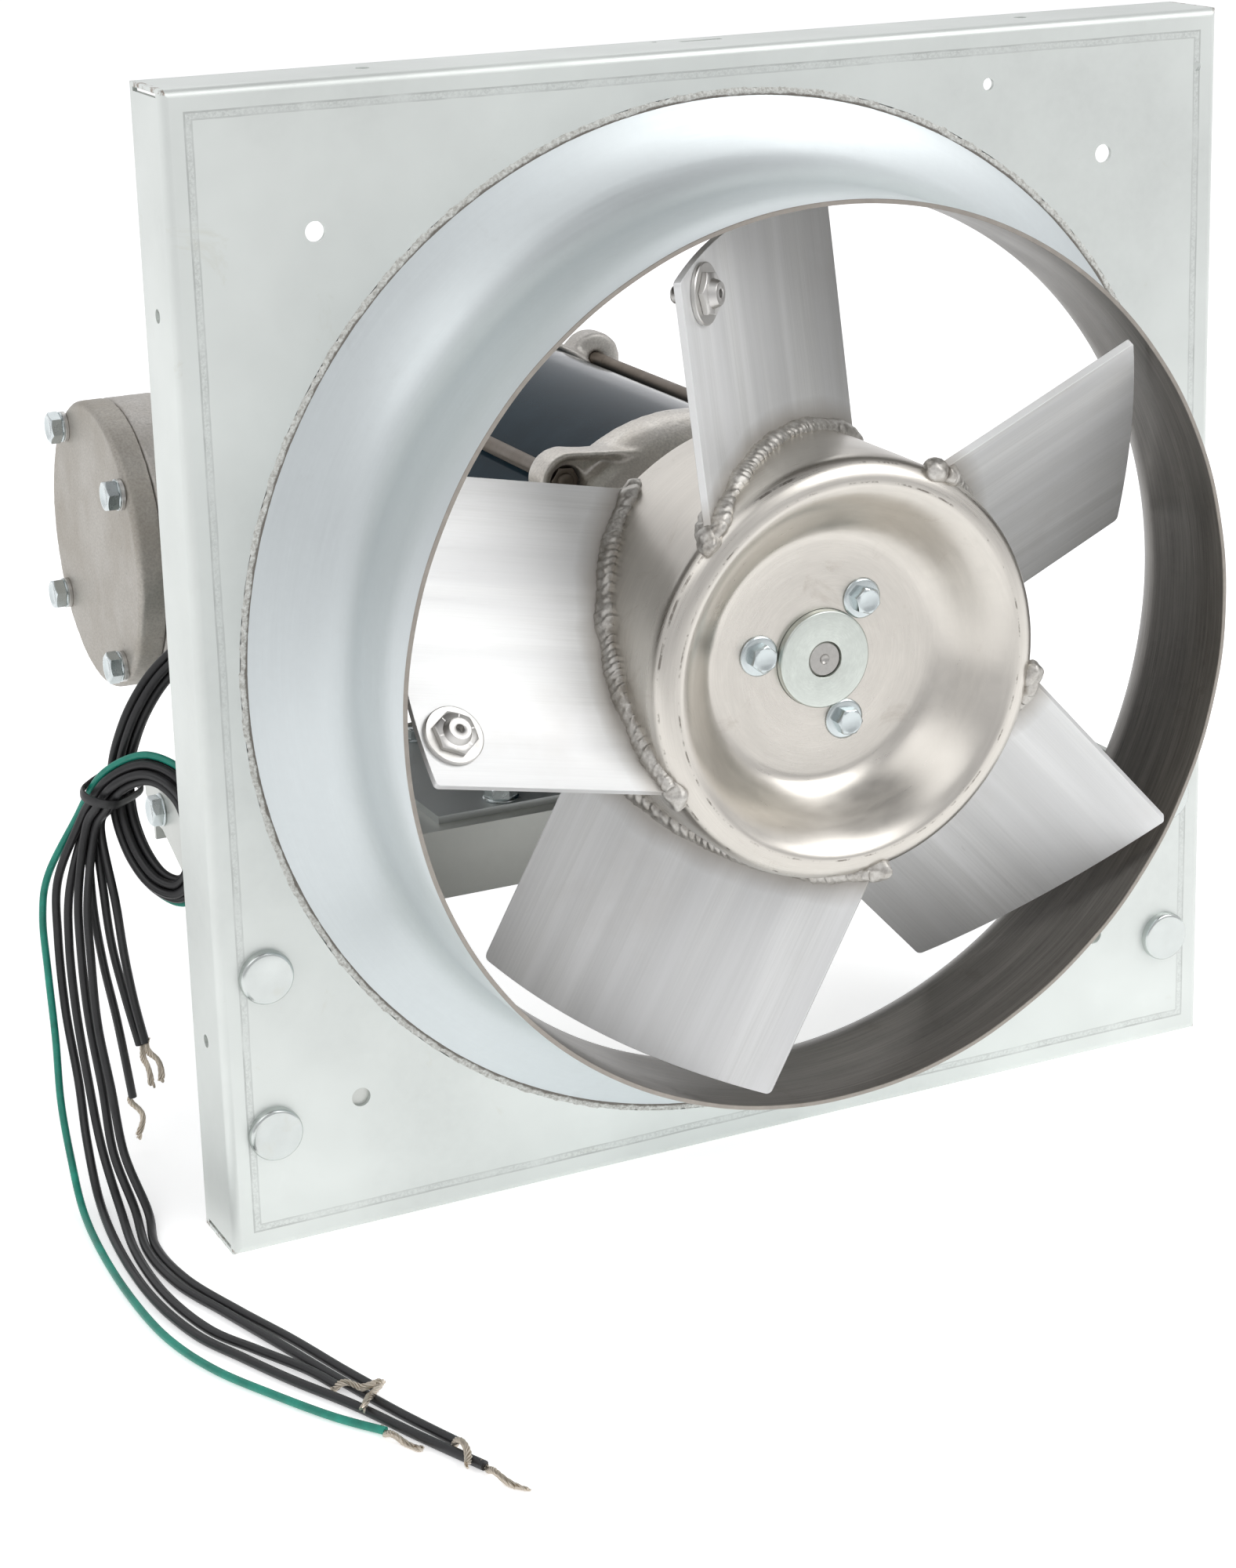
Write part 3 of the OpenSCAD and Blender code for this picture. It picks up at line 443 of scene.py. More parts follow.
def to_mesh(name, verts, faces, mat_ids=None, uvs=None, merge=0.0):
    me = bpy.data.meshes.new(name)
    me.from_pydata([tuple(v) for v in verts], [], [tuple(f) for f in faces])
    if mat_ids is not None:
        for p, i in zip(me.polygons, mat_ids):
            p.material_index = i
    if uvs is not None:
        layer = me.uv_layers.new(name="UVMap")
        for lp in me.loops:
            layer.data[lp.index].uv = uvs[lp.vertex_index]
    bm = bmesh.new()
    bm.from_mesh(me)
    if merge:
        bmesh.ops.remove_doubles(bm, verts=bm.verts, dist=merge)
    bmesh.ops.recalc_face_normals(bm, faces=bm.faces)
    bm.to_mesh(me)
    bm.free()
    return me


def join(parts):
    """Several (verts, faces) lists as one."""
    verts, faces = [], []
    for v, f in parts:
        n = len(verts)
        verts += [tuple(p) for p in v]
        faces += [tuple(i + n for i in q) for q in f]
    return verts, faces


def piece(name, parts, mats, nodes, angle=35, body="frame"):
    """One object from (verts, faces) lists in place; nodes are the CAD nodes it replaces."""
    v, f = join(parts)
    finish_mesh(name, to_mesh(name, v, f), mats, body, nodes.split(), angle)


def tube_faces(n, seg):
    """Faces of n rings of seg points each, with both ends closed."""
    faces = []
    for i in range(n - 1):
        for j in range(seg):
            q = (j + 1) % seg
            faces.append((i * seg + j, i * seg + q, (i + 1) * seg + q, (i + 1) * seg + j))
    faces.append(tuple(range(seg - 1, -1, -1)))
    faces.append(tuple((n - 1) * seg + j for j in range(seg)))
    return faces


def loop_faces(n, seg):
    """Faces of n rings of seg points each, the last ring joined to the first."""
    return [(i * seg + j, i * seg + (j + 1) % seg, (i + 1) % n * seg + (j + 1) % seg,
             (i + 1) % n * seg + j) for i in range(n) for j in range(seg)]


def revolve(prof, seg, wobble=None):
    """Closed outline of (radius, y) in millimetres turned round Y; the outline closes on itself."""
    verts = []
    n = len(prof)
    for i in range(seg):
        a = 2 * pi * i / seg
        for j, (r, y) in enumerate(prof):
            if wobble:
                r, y = wobble(a, j, r, y)
            verts.append((r * cos(a) * mm, y * mm, r * sin(a) * mm))
    # No face between two points on the axis
    return verts, [f for f in loop_faces(seg, n) if max(prof[f[0] % n][0], prof[f[1] % n][0]) > 1e-6]


def rounded(prof, radii, steps=5):
    """Replaces corners of a closed outline by arcs. radii: {index: radius}."""
    out = []
    n = len(prof)
    for i, p in enumerate(prof):
        r = radii.get(i, 0)
        if not r:
            out.append(p)
            continue
        a, b, c = (np.array(prof[(i + d) % n], float) for d in (-1, 0, 1))
        u, v = (a - b) / np.linalg.norm(a - b), (c - b) / np.linalg.norm(c - b)
        half = acos(max(-1, min(1, float(u @ v)))) / 2
        t = r / tan(half)
        mid = b + (u + v) / np.linalg.norm(u + v) * (r / sin(half))
        p0, p1 = b + u * t - mid, b + v * t - mid
        a0, a1 = atan2(p0[1], p0[0]), atan2(p1[1], p1[0])
        d = (a1 - a0 + pi) % (2 * pi) - pi
        for s in range(steps + 1):
            g = a0 + d * s / steps
            out.append((mid[0] + r * cos(g), mid[1] + r * sin(g)))
    return out


def place(part, m):
    v, f = part
    return [tuple(m @ Vector(p)) for p in v], f


def about_y(deg):
    """Turns +X toward +Z by deg, round the fan axis."""
    return Matrix.Rotation(-radians(deg), 4, "Y")


def aim(at, axis, spin=0.0):
    """Frame at a point in millimetres, local +Z along axis."""
    z = Vector(axis).normalized()
    q = z.to_track_quat("Z", "Y").to_matrix().to_4x4()
    return Matrix.Translation(Vector(at) * mm) @ q @ Matrix.Rotation(radians(spin), 4, "Z")


def disc_stack(levels, seg=48):
    """Solid of revolution about +Z from (radius, z) levels in millimetres, closed at both ends."""
    verts = []
    for r, z in levels:
        for i in range(seg):
            a = 2 * pi * i / seg
            verts.append((r * cos(a) * mm, r * sin(a) * mm, z * mm))
    return verts, tube_faces(len(levels), seg)


def hex_solid(af, z0, z1, bore=0.0, seg=96, dish=0.0, both=False):
    """Hexagon prism along +Z with turned corner chamfers, and a bore or a shallow dished top."""
    verts, faces, rings = [], [], []
    flat = af / 2
    cut = 0.94 * flat
    for i in range(seg):
        a = 2 * pi * i / seg
        r = flat / cos((a + pi / 6) % (pi / 3) - pi / 6)
        drop = (r - cut) * 0.52
        pts = [(cut, z0), (r, z0 + drop)] if both else [(r * 0.97, z0), (r, z0 + 0.12)]
        pts += [(r - 0.06, z1 - drop - 0.05), (r - 0.16, z1 - drop + 0.03), (cut, z1)]
        if bore:
            pts += [(bore + 0.35, z1), (bore, z1 - 0.35), (bore, z0)]
        elif dish:
            pts += [(cut * 0.84, z1 - 0.02), (cut * 0.66, z1 - dish), (0.01, z1 - dish * 1.1)]
        else:
            pts += [(0.01, z1)]
        rings.append([(q * cos(a), q * sin(a), h) for q, h in pts])
    n = len(rings[0])
    for ring in rings:
        verts += [tuple(c * mm for c in p) for p in ring]
    for i in range(seg):
        k = (i + 1) % seg
        for j in range(n - 1):
            faces.append((i * n + j, i * n + j + 1, k * n + j + 1, k * n + j))
        if bore:
            faces.append((i * n + n - 1, i * n, k * n, k * n + n - 1))
    if not bore:
        faces.append(tuple(i * n for i in range(seg)))
        faces.append(tuple(i * n + n - 1 for i in range(seg - 1, -1, -1)))
    return verts, faces


def nut(af, height, bore, *where):
    """Hex nut with both faces chamfered, set by aim()."""
    return place(hex_solid(af, 0, height, bore=bore, both=True), aim(*where))


def bolt(af, head, face_d, d, long, dish=0.5):
    """Hex bolt, washer face at z = 0, shank toward -Z."""
    f = face_d / 2
    return join([
        disc_stack([(f - 0.25, 0), (f, 0.2), (f, 0.6), (f - 0.35, 0.95), (f - 1, 1.12), (2, 1.2)], 64),
        hex_solid(af, 1.0, head, dish=dish),
        disc_stack([(d / 2 - 0.5, -long), (d / 2, -long + 0.5), (d / 2, 0.5)], 32)])


# ---- leads
# All in millimetres: the centre of the bundle, each lead's place in it in steps of spacing,
# each lead's own run after the tie, and its bare tip. The last lead is the green one.
spacing = 3.6
strand_r = 0.48
bundle = [
    (-130, 114, -5), (-130, 106, -5), (-132, 98, -6), (-138, 90, -7), (-148, 85, -9),
    (-160, 85, -12), (-172, 87, -17), (-182, 90, -26), (-190, 91, -37), (-195, 92, -48),
    (-198, 93, -59), (-199, 92, -70), (-199, 88, -81), (-197, 81, -92), (-193, 73, -100),
    (-187, 66, -103), (-182, 61, -98), (-180, 58, -89), (-180, 58, -77), (-182, 60, -66),
    (-187, 64, -58), (-193, 70, -55), (-199, 76, -57)]
slots = [(0.5, 0.57), (1, -0.3), (-0.5, 0.57), (0.5, -1.16), (-1, -0.3), (-0.5, -1.16),
         (0, -0.3), (0, 1.44)]
free = [
    [(-207.4, 80.7, -60.4), (-211.9, 86, -68.6), (-216.2, 89, -77.6), (-225.7, 90, -98.7),
     (-229.5, 82, -117.8), (-231.5, 72, -142.8), (-232.4, 58, -165.8), (-234.4, 45, -184.9),
     (-236.3, 26, -201.3), (-240.3, -12, -203.2), (-240.8, -50.1, -203.2),
     (-236.2, -81.1, -203.2), (-227.7, -103.1, -203.3), (-218.1, -126.1, -203.3),
     (-206.1, -151.1, -203.3), (-195.1, -179.1, -203.3), (-184.1, -205.1, -203.3)],
    [(-207.1, 77.9, -62.8), (-211, 82.7, -70.6), (-215, 85.5, -79.3), (-221.2, 79.7, -102),
     (-224.3, 70.7, -121), (-226.3, 59.6, -143), (-226.4, 47.6, -166.9), (-227.5, 35.5, -186.9),
     (-226.5, 16.4, -201.3), (-231.6, -14.6, -203.2), (-230.1, -43.7, -203.2),
     (-222.2, -71.7, -203.2), (-213.7, -101.7, -203), (-204.8, -132.3, -203.3),
     (-195, -163.4, -203.3), (-186.4, -188.4, -202.9)],
    [(-204.6, 83.3, -60.5), (-208.9, 88.6, -68.8), (-212.8, 91.8, -78.1), (-222.7, 85.2, -100.9),
     (-226.8, 77.1, -119.8), (-228.8, 67.1, -141.8), (-229.8, 54.1, -164.7),
     (-230.3, 41.1, -185.7), (-230.9, 20.1, -201.3), (-235.9, -14.9, -202.8),
     (-236.4, -49.9, -202.8), (-231.4, -80.9, -202.7), (-221.9, -101.9, -202.7),
     (-211.9, -122.9, -202.6), (-207, -137.9, -202.6)],
    [(-204.4, 77.6, -65.1), (-208, 82, -72.3), (-212, 84.7, -80.9), (-219.4, 74.5, -104),
     (-222.5, 64.3, -123), (-224.6, 54.2, -144), (-224.7, 42.1, -165), (-224.8, 30.9, -186),
     (-222.9, 11.8, -201.3), (-228, -13.3, -203.3), (-226.1, -42.5, -203.3),
     (-217.7, -72.6, -203.3), (-208.8, -99.8, -203.3), (-201.5, -126, -203.3),
     (-196.5, -144.8, -202.7)],
    [(-201.8, 83, -62.9), (-205.6, 88, -70.8), (-209.5, 91.1, -80), (-212.5, 76.2, -103.3),
     (-211.8, 73.1, -122.2), (-208.8, 71.1, -142.1), (-204.9, 70.1, -162.1)],
    [(-201.7, 80.1, -65), (-205.1, 84.5, -72.1), (-208.9, 87.1, -80.7), (-209.7, 71.5, -104.6),
     (-208.8, 68.6, -123.7), (-206.8, 66.7, -142.8), (-203.9, 65.8, -159.9)],
    [(-204.6, 80.5, -62.8), (-208.5, 85.3, -70.7), (-212.8, 88.3, -79.6), (-215.8, 81, -104),
     (-214.4, 78, -129), (-211.3, 75, -154), (-208.2, 73, -184)],
    [(-207.4, 83.5, -58.2), (-212, 89.1, -67.1), (-216.2, 92.2, -76.5), (-228, 93.9, -97),
     (-233.1, 87.9, -111), (-235.1, 78.9, -130), (-237.1, 67.9, -152), (-240.1, 55.9, -172),
     (-241.1, 43.9, -190), (-243.1, 24.8, -201.9), (-246.1, -8.2, -203.5),
     (-247.2, -45.2, -203.5), (-245.2, -78.2, -203.5), (-238.2, -106.3, -203.5),
     (-226.2, -132.3, -203.5), (-214.3, -154.5, -203.5), (-203.2, -170.3, -203.5)]]
tips = [
    [(-182, -213, -203.6), (-178, -225, -203.8)],
    [(-187.3, -196.8, -200.2), (-190.1, -206, -202.6)],
    [(-202.5, -145.3, -199.7), (-196, -151.8, -197.9)],
    [(-200.2, -152.4, -200.2), (-208.7, -159.8, -201.5)],
    [(-202.9, 70, -170), (-201, 70, -180)],
    [(-199.9, 65.9, -167.9), (-199, 66, -177)],
    [(-206.1, 73, -193), (-206, 73, -202)],
    [(-201.1, -178.1, -203.7), (-197, -187, -203.8)]]


def heading(p, i):
    """Unit tangent of a list of points."""
    return (p[min(i + 1, len(p) - 1)] - p[max(i - 1, 0)]).normalized()


def carried(p, u):
    """The side direction u carried along a list of points without twist."""
    out = []
    for i in range(len(p)):
        t = heading(p, i)
        u = (u - u.dot(t) * t).normalized()
        out.append(u.copy())
    return out


core = [Vector(p) for p in bundle]
core_u = carried(core, Vector((0, 0, 1)))
core_v = [heading(core, i).cross(core_u[i]) for i in range(len(core))]


def fine_line(p, n):
    """Smooth curve through the points, n steps to a span."""
    out = []
    for i in range(len(p) - 1):
        a, b, c, d = p[max(i - 1, 0)], p[i], p[i + 1], p[min(i + 2, len(p) - 1)]
        for j in range(n):
            t = j / n
            out.append(0.5 * (2 * b + (c - a) * t + (2 * a - 5 * b + 4 * c - d) * t * t
                              + (3 * b - a - 3 * c + d) * t ** 3))
    out.append(p[-1])
    return out


def strands(k, end, dirn):
    """Bare twisted strands past the insulation, a little splayed."""
    rnd = random.Random(40 + k)
    path = [end - dirn * 1.5, end] + [Vector(q) for q in tips[k]]
    path = fine_line(path, 14)
    u = carried(path, Vector((0.13, 0.21, 1)))
    parts = []
    for s in range(7):
        verts = []
        spread = rnd.uniform(0.2, 1.0)
        cut = len(path) - int(rnd.uniform(0, 8))
        ph = 2 * pi * s / 6
        for i in range(cut):
            t = heading(path, i)
            v = t.cross(u[i])
            f = i / (len(path) - 1)
            # The seventh strand is the straight core of the other six
            rad = 0.0 if s == 6 else 0.74 + 0.12 * sin(f * 17 + k)
            rad += spread * 1.2 * max(0, f - 0.7) ** 1.5
            g = ph + f * 17.0
            sway = u[i] * sin(f * 13 + k) + v * cos(f * 10 + 2 * k)
            c = path[i] + (u[i] * cos(g) + v * sin(g)) * rad
            c += sway * 0.95 * min(1, f * 4)
            c.z = max(c.z, floor_z + 0.7)
            for j in range(6):
                w = 2 * pi * j / 6
                q = c + (u[i] * cos(w) + v * sin(w)) * strand_r
                verts.append(tuple(q * mm))
        parts.append((verts, tube_faces(cut, 6)))
    return join(parts)


def lead(k):
    """One lead as a curve with its bare strands."""
    name = "lead_green" if k == 7 else f"lead_black_{k + 1}"
    dia = 2.8 if k == 7 else 3.3
    pts = [p + spacing * (slots[k][0] * a + slots[k][1] * b)
           for p, a, b in zip(core, core_u, core_v)]
    pts += [Vector(p) for p in free[k]]
    cu = bpy.data.curves.new(name + "_insulation", "CURVE")
    cu.dimensions = "3D"
    cu.bevel_depth = dia / 2 * mm
    cu.bevel_resolution = 4
    cu.resolution_u = 10
    cu.use_fill_caps = True
    sp = cu.splines.new("BEZIER")
    sp.bezier_points.add(len(pts) - 1)
    for i, b in enumerate(sp.bezier_points):
        m = (pts[min(i + 1, len(pts) - 1)] - pts[max(i - 1, 0)]) / 6
        b.handle_left_type = b.handle_right_type = "FREE"
        b.co = pts[i] * mm
        b.handle_left = (pts[i] - m) * mm
        b.handle_right = (pts[i] + m) * mm
    o = new_object(name + "_insulation", cu)
    cu.materials.append((M_green if k == 7 else M_black).m)
    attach(o, "frame")
    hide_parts(name)
    line = fine_line(pts, 12)
    end = line[-1]
    dirn = (line[-1] - line[-3]).normalized()
    v, f = strands(k, end, dirn)
    s = finish_mesh(name + "_strands", to_mesh(name + "_strands", v, f), M_strand, "frame", angle=60)


for k in range(8):
    lead(k)


def tie_wire():
    """Flat tie: an oval loop round both passes of the bundle."""
    verts = []
    ctr = Vector((-202.95, 88.65, -66.65))
    rot = Matrix.Rotation(radians(223.2), 4, "Z") @ Matrix.Rotation(radians(-20.5), 4, "X")
    path = []
    for i in range(72):
        a = 2 * pi * i / 72
        x = 8.0 * cos(a) + (6.4 if cos(a) > 0 else -6.4) * min(1, abs(cos(a)) * 3)
        path.append(Vector((x, 8.0 * sin(a), 0.5 * sin(2 * a))))
    for i, p in enumerate(path):
        t = (path[(i + 1) % 72] - path[i - 1]).normalized()
        side = t.cross(Vector((0, 0, 1)))
        for w, h in ((1.7, -0.35), (1.7, 0.35), (0.45, 0.75), (-0.45, 0.75), (-1.7, 0.35),
                     (-1.7, -0.35), (-0.45, -0.7), (0.45, -0.7)):
            q = p + Vector((0, 0, 1)) * w + side * h
            verts.append(tuple((rot @ q + ctr) * mm))
    return verts, loop_faces(72, 8)


piece("twist_tie", [tie_wire()], M_black, "harness_tie", 40)

# ---- CAD nodes kept as they are
# Material, width of the edge bevel in mm, nodes
node_look = (
    (M_panel, 0, "panel"),
    (M_bracket, 0.35, "side_bracket_left side_bracket_right cross_channel_front cross_channel_rear"),
    (M_plate, 0.35, "motor_base_plate"), (M_paint, 0.3, "motor_cradle"),
    (M_core, 0, "stator_core rotor_core"), (M_copper, 0, "stator_windings"),
    (M_case, 0.4, "thermal_protector"), (M_zinc, 0.2, "shaft_key"), (M_rubber, 0.5, "lead_bushing"),
    (M_bearing, 0, "wave_washer outer_races bearing_balls inner_races"),
)
for m, w, n in ((m, w, n) for m, w, names in node_look for n in names.split()):
    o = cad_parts[n]
    o.data.materials.clear()
    o.data.materials.append(m.m)
    if w:
        sharp_bevel(o, w * mm, 40)


# ---- ring and bead
def cone_r(y):
    """Outer radius of the ring's cone at y."""
    return 171.1 + (y + 43.4) * 1.355


def skin(r, n=14):
    """The bend between cone and throat, at radius r from its centre."""
    return [(186 - r * cos(radians(a)), -63.6 + r * sin(radians(a))) for a in np.linspace(53.6, 0, n)]


outer = [(193.5, -29.4), (cone_r(-29.4), -29.4), *skin(25),
         (161, -84), (161, -105.2), (160.8, -105.5)]
inner = [(159.5, -105.5), (159.4, -105.2), (159.4, -84), *skin(26.6)[::-1],
         (189.7, -27.8), (193.5, -27.8)]
prof = outer + inner
n_out = len(outer)


def ring_wobble(a, j, r, y):
    lip = 1.0 if y < -100 else 0.0
    d = 0.10 * sin(3 * a + 1.0) + 0.05 * sin(7 * a)
    e = lip * (0.12 * sin(11 * a) + 0.10 * sin(29 * a + 2))
    return r + d * (1 if -110 < y < -64 else 0.3), y + e


v, f = revolve(prof, 256, ring_wobble)
# Material slots: outer faces, inner faces darkened with painted shade, lip edge
ids = [2 if n_out - 2 <= j <= n_out else (0 if j < n_out else 1) for j in range(len(prof))] * 256
finish_mesh("ring_sheet", to_mesh("ring_sheet", v, f, ids), [M_ring, M_ring_in_painted_shade, M_lip], "frame",
            ("venturi_ring",), 40)


def bead_wobble(a, j, r, y):
    if j in (1, 2, 3, 4):
        c = Vector((cos(a), sin(a), j * 0.13))
        d = pn.noise(c * 34) * 0.55 + pn.noise(c * 160) * 0.5
        e = pn.noise(c * 120 + Vector((5, 1, 2))) * 0.4
        if j in (1, 4):
            return r + d * (1.1 if j == 4 else 0.2), y
        return r + d * 0.35, min(y - e * 0.4, -31.15)
    return r, y


piece("seam_bead", [revolve([(189.6, -29.8), (cone_r(-31.25) + 0.02, -31.25), (188.35, -31.55),
                             (189.2, -31.40), (190.25, -31.02), (189.8, -30.9)], 1100, bead_wobble)],
      M_seal, "seam_sealant", 60)

# ---- hub drum
hub_prof = [(75, -43), (75, -60), (75, -90), (75, -106.3)]
hub_prof += [(66.4 + 8.6 * cos(radians(a)), -106.3 - 8.4 * sin(radians(a))) for a in range(12, 91, 6)]
hub_prof += [(65.6, -114.6), (64.6, -114.0), (63.4, -113.3), (61.8, -112.0), (59.6, -109.8),
             (57.2, -106.8), (54.6, -103.3), (52, -99.9), (49.4, -96.8), (47.2, -94.7), (45.2, -93.3),
             (43.4, -92.4), (41.4, dish_y), (30, dish_y), (17.65, dish_y), (17.65, -89.5),
             (41.4, -89.5), (44.6, -90.4), (47.6, -93.2), (51, -97.8), (55, -103.4), (59.2, -108.8),
             (62.4, -111.4), (65, -112.2), (67, -112.4), (69.4, -111.9), (71, -110.4), (72, -108.8),
             (72.5, -106.5), (72.5, -90), (72.5, -43)]


def hub_wobble(a, j, r, y):
    c = Vector((cos(a) * 1.3, sin(a) * 1.3, y * 0.05))
    if r > 74 and y > -107:
        r += pn.noise(c * 2.2) * 0.35
    elif y < -95:
        y += pn.noise(c * 2.0) * 0.18
    return r, y


piece("drum", [revolve(hub_prof, 224, hub_wobble)], M_hub, "hub_drum", 40, body="rotor")

# ---- blades
run, rise = 45.4, 32.1        # half the chord, across and along the fan axis, mm
camber = 4.2
half = hypot(run, rise)
arc_r = (half * half + camber * camber) / (2 * camber)
mid_y = -78.2
tip_r, root_r = 153.3, 74.2
sheet_t = 2.6


def on_arc(c, n):
    """Point (t, y) of the cambered sheet at chord place c, offset n through the sheet."""
    ang = asin(c / arc_r)
    x = (arc_r + n) * sin(ang)
    h = (arc_r + n) * cos(ang) - arc_r + camber
    return (-(x * run / half - h * rise / half), mid_y + x * rise / half + h * run / half)


def blade_matrix(k):
    return about_y(96.5 - 72 * k)


def sheet_point(c, n, rad, m):
    """Point of blade frame m at chord place c, offset n, radius rad."""
    t, y = on_arc(c, n)
    u = sqrt(max(rad * rad - t * t, 1))
    return m @ Vector((u * mm, y * mm, t * mm))


def corner_cut(d, r):
    """How far a corner of radius r draws the tip back at distance d from the edge."""
    return r - sqrt(max(r * r - (r - d) ** 2, 0)) if d < r else 0.0


def blade(k):
    """Cambered sheet with rounded corners and a slight warp."""
    m = blade_matrix(k)
    rnd = random.Random(k)
    warp = rnd.uniform(0, 6)
    cs = [-half, -half + 0.4, -half + 1.0, *np.linspace(-half + 2.5, half - 5, 30),
          half - 3, half - 2, half - 1.6, half - 1.1, half - 0.6, half - 0.2, half]
    vs = [0, 0.02, 0.05, *np.linspace(0.1, 0.95, 18), 0.98, 0.993, 1.0]
    verts, uvs, faces = [], [], []
    for side in (-1, 1):
        for c in cs:
            t, _ = on_arc(c, 0)
            tip = tip_r - corner_cut(half - c, 1.6) - corner_cut(c + half, 1.2)
            u0 = sqrt(root_r ** 2 - t * t)
            u1 = sqrt(tip ** 2 - t * t)
            for w in vs:
                u = u0 + (u1 - u0) * w
                bow = 0.25 * sin(3.1 * w + warp) * cos(c / 30)
                tt, y = on_arc(c, side * sheet_t / 2 + bow)
                verts.append(tuple(m @ Vector((u * mm, y * mm, tt * mm))))
                uvs.append((u * mm + 0.31 * k, c * mm + 0.17 * k))
    nc, nv = len(cs), len(vs)
    for s in (0, 1):
        for i in range(nc - 1):
            for j in range(nv - 1):
                b = s * nc * nv
                b0, b1 = b + i * nv + j, b + (i + 1) * nv + j
                q = (b0, b0 + 1, b1 + 1, b1)
                faces.append(q if s else q[::-1])
    o = nc * nv
    for i in range(nc - 1):
        for j in (0, nv - 1):
            faces.append((i * nv + j, (i + 1) * nv + j, o + (i + 1) * nv + j, o + i * nv + j))
    for j in range(nv - 1):
        for i in (0, nc - 1):
            faces.append((i * nv + j, i * nv + j + 1, o + i * nv + j + 1, o + i * nv + j))
    finish_mesh(f"blade_sheet_{k + 1}", to_mesh(f"blade_sheet_{k + 1}", verts, faces, uvs=uvs),
                M_blade, "rotor", (f"blade_{k + 1}",), 40, 0.25 * mm)


for k in range(5):
    blade(k)


# ---- weld beads
def bead(k, side):
    """Fillet along one face of the blade root: flat, wide, with overlapping crescent ripples."""
    m = blade_matrix(k)
    rnd = random.Random(100 + 2 * k + (side > 0))
    n, seg = 330, 26
    phase, pos = 0.0, []
    for i in range(n):
        pos.append(phase)
        phase += (2 * half + 1.0) / n / (3.3 + 0.9 * sin(i * 0.05 + k) + rnd.uniform(-0.3, 0.3))
    lump = [rnd.uniform(-1, 1) for _ in range(60)]
    pts = []
    for i in range(n):
        c = -half - 0.5 + (2 * half + 1.0) * i / (n - 1)
        c = max(-half + 0.2, min(half - 0.2, c))
        wav = pn.noise(Vector((i * 0.025, k * 5, side * 3)))
        pts.append(sheet_point(c, side * (2.0 + wav * 0.9), 75.3 + wav * 0.5, m))
    verts = []
    for i in range(n):
        p = pts[i]
        t = heading(pts, i)
        out = Vector((p.x, 0, p.z)).normalized()
        out = (out - out.dot(t) * t).normalized()
        b2 = t.cross(out)
        size = 1.0 + 0.22 * pn.noise(Vector((i * 0.035, k * 3, side))) + 0.06 * sin(i * 0.09 + k)
        size *= 0.45 + 0.55 * sqrt(min(1, min(i, n - 1 - i) / 12))
        for j in range(seg):
            w = 2 * pi * j / seg
            q = pos[i] + 0.75 * cos(w) ** 2 + 0.10 * sin(2 * w)
            ph = q % 1.0
            step = ph ** 0.7 * (1 - 0.55 * max(0, (ph - 0.82) / 0.18))
            h = 0.16 * step + 0.05 * lump[int(q) % 60]
            r = 0.90 + h + 0.07 * pn.noise(Vector((i * 0.22, j * 0.7, k + side)))
            d = out * cos(w) * 3.5 + b2 * sin(w) * 4.1
            verts.append(tuple(p + d * r * size * mm))
    return verts, tube_faces(n, seg)


def blob(center, r, stretch, seed):
    """Lumpy end of a weld."""
    bm = bmesh.new()
    bmesh.ops.create_icosphere(bm, subdivisions=4, radius=1.0)
    x = Vector(stretch).normalized()
    verts = []
    for v in bm.verts:
        s = 1 + 0.20 * pn.noise(v.co * 1.3 + Vector((seed, 0, 0)))
        s += 0.035 * pn.noise(v.co * 4 + Vector((seed, 3, 0)))
        p = v.co * r * s
        p = p + x * p.dot(x) * 0.45
        verts.append(tuple(Vector(center) + p * mm))
    faces = [tuple(v.index for v in f.verts) for f in bm.faces]
    bm.free()
    return verts, faces


parts = []
for k in range(5):
    m = blade_matrix(k)
    for side in (-1, 1):
        parts.append(bead(k, side))
    for c, r, s in ((0.1 - half, 4.3, 1), (half - 0.1, 3.6, 2)):
        p = sheet_point(c, 0, 74.6, m)
        q = sheet_point(c * 0.96, 0, 74.6, m)
        parts.append(blob(p, r, tuple(p - q), k * 7 + s))
piece("welds", parts, M_weld, "weld_beads", 70, body="rotor")

# ---- balance weights
parts_w, parts_n = [], []
for k in (0, 4):
    m = blade_matrix(k)
    c, u = -37.8, 138.0
    t, y = on_arc(c, 0)
    t2, y2 = on_arc(c, -10)
    nrm = (m.to_3x3() @ Vector((0, y2 - y, t2 - t))).normalized()
    at = m @ Vector((u, y, t))
    fr = aim(at, nrm, 20 + 25 * k)
    bk = aim(at, -nrm, 10)
    parts_w.append(place(disc_stack([(2.9, 1.35), (10.2, 1.35), (10.5, 1.6), (10.5, 2.8), (10.1, 3.1),
                                     (2.9, 3.1)], 72), fr))
    cone = disc_stack([(5.2, 5.3), (5.0, 5.6), (4.3, 7.4), (3.9, 7.9), (2.2, 8.1), (1.5, 7.8),
                       (1.3, 5.4)], 48)
    parts_n.append(place(join([hex_solid(14, 3.1, 5.4), cone]), fr))
    parts_n.append(place(join([hex_solid(10, 1.3, 6.3, bore=2.9, both=True),
                               disc_stack([(3, -1.3), (3, 8.6), (2.4, 9.3)], 32)]), bk))
piece("weight_washers", parts_w, M_zinc_dull, "balance_washers", body="rotor")
piece("weight_nuts", parts_n, M_zinc_dull, "balance_nuts balance_bolts", body="rotor")

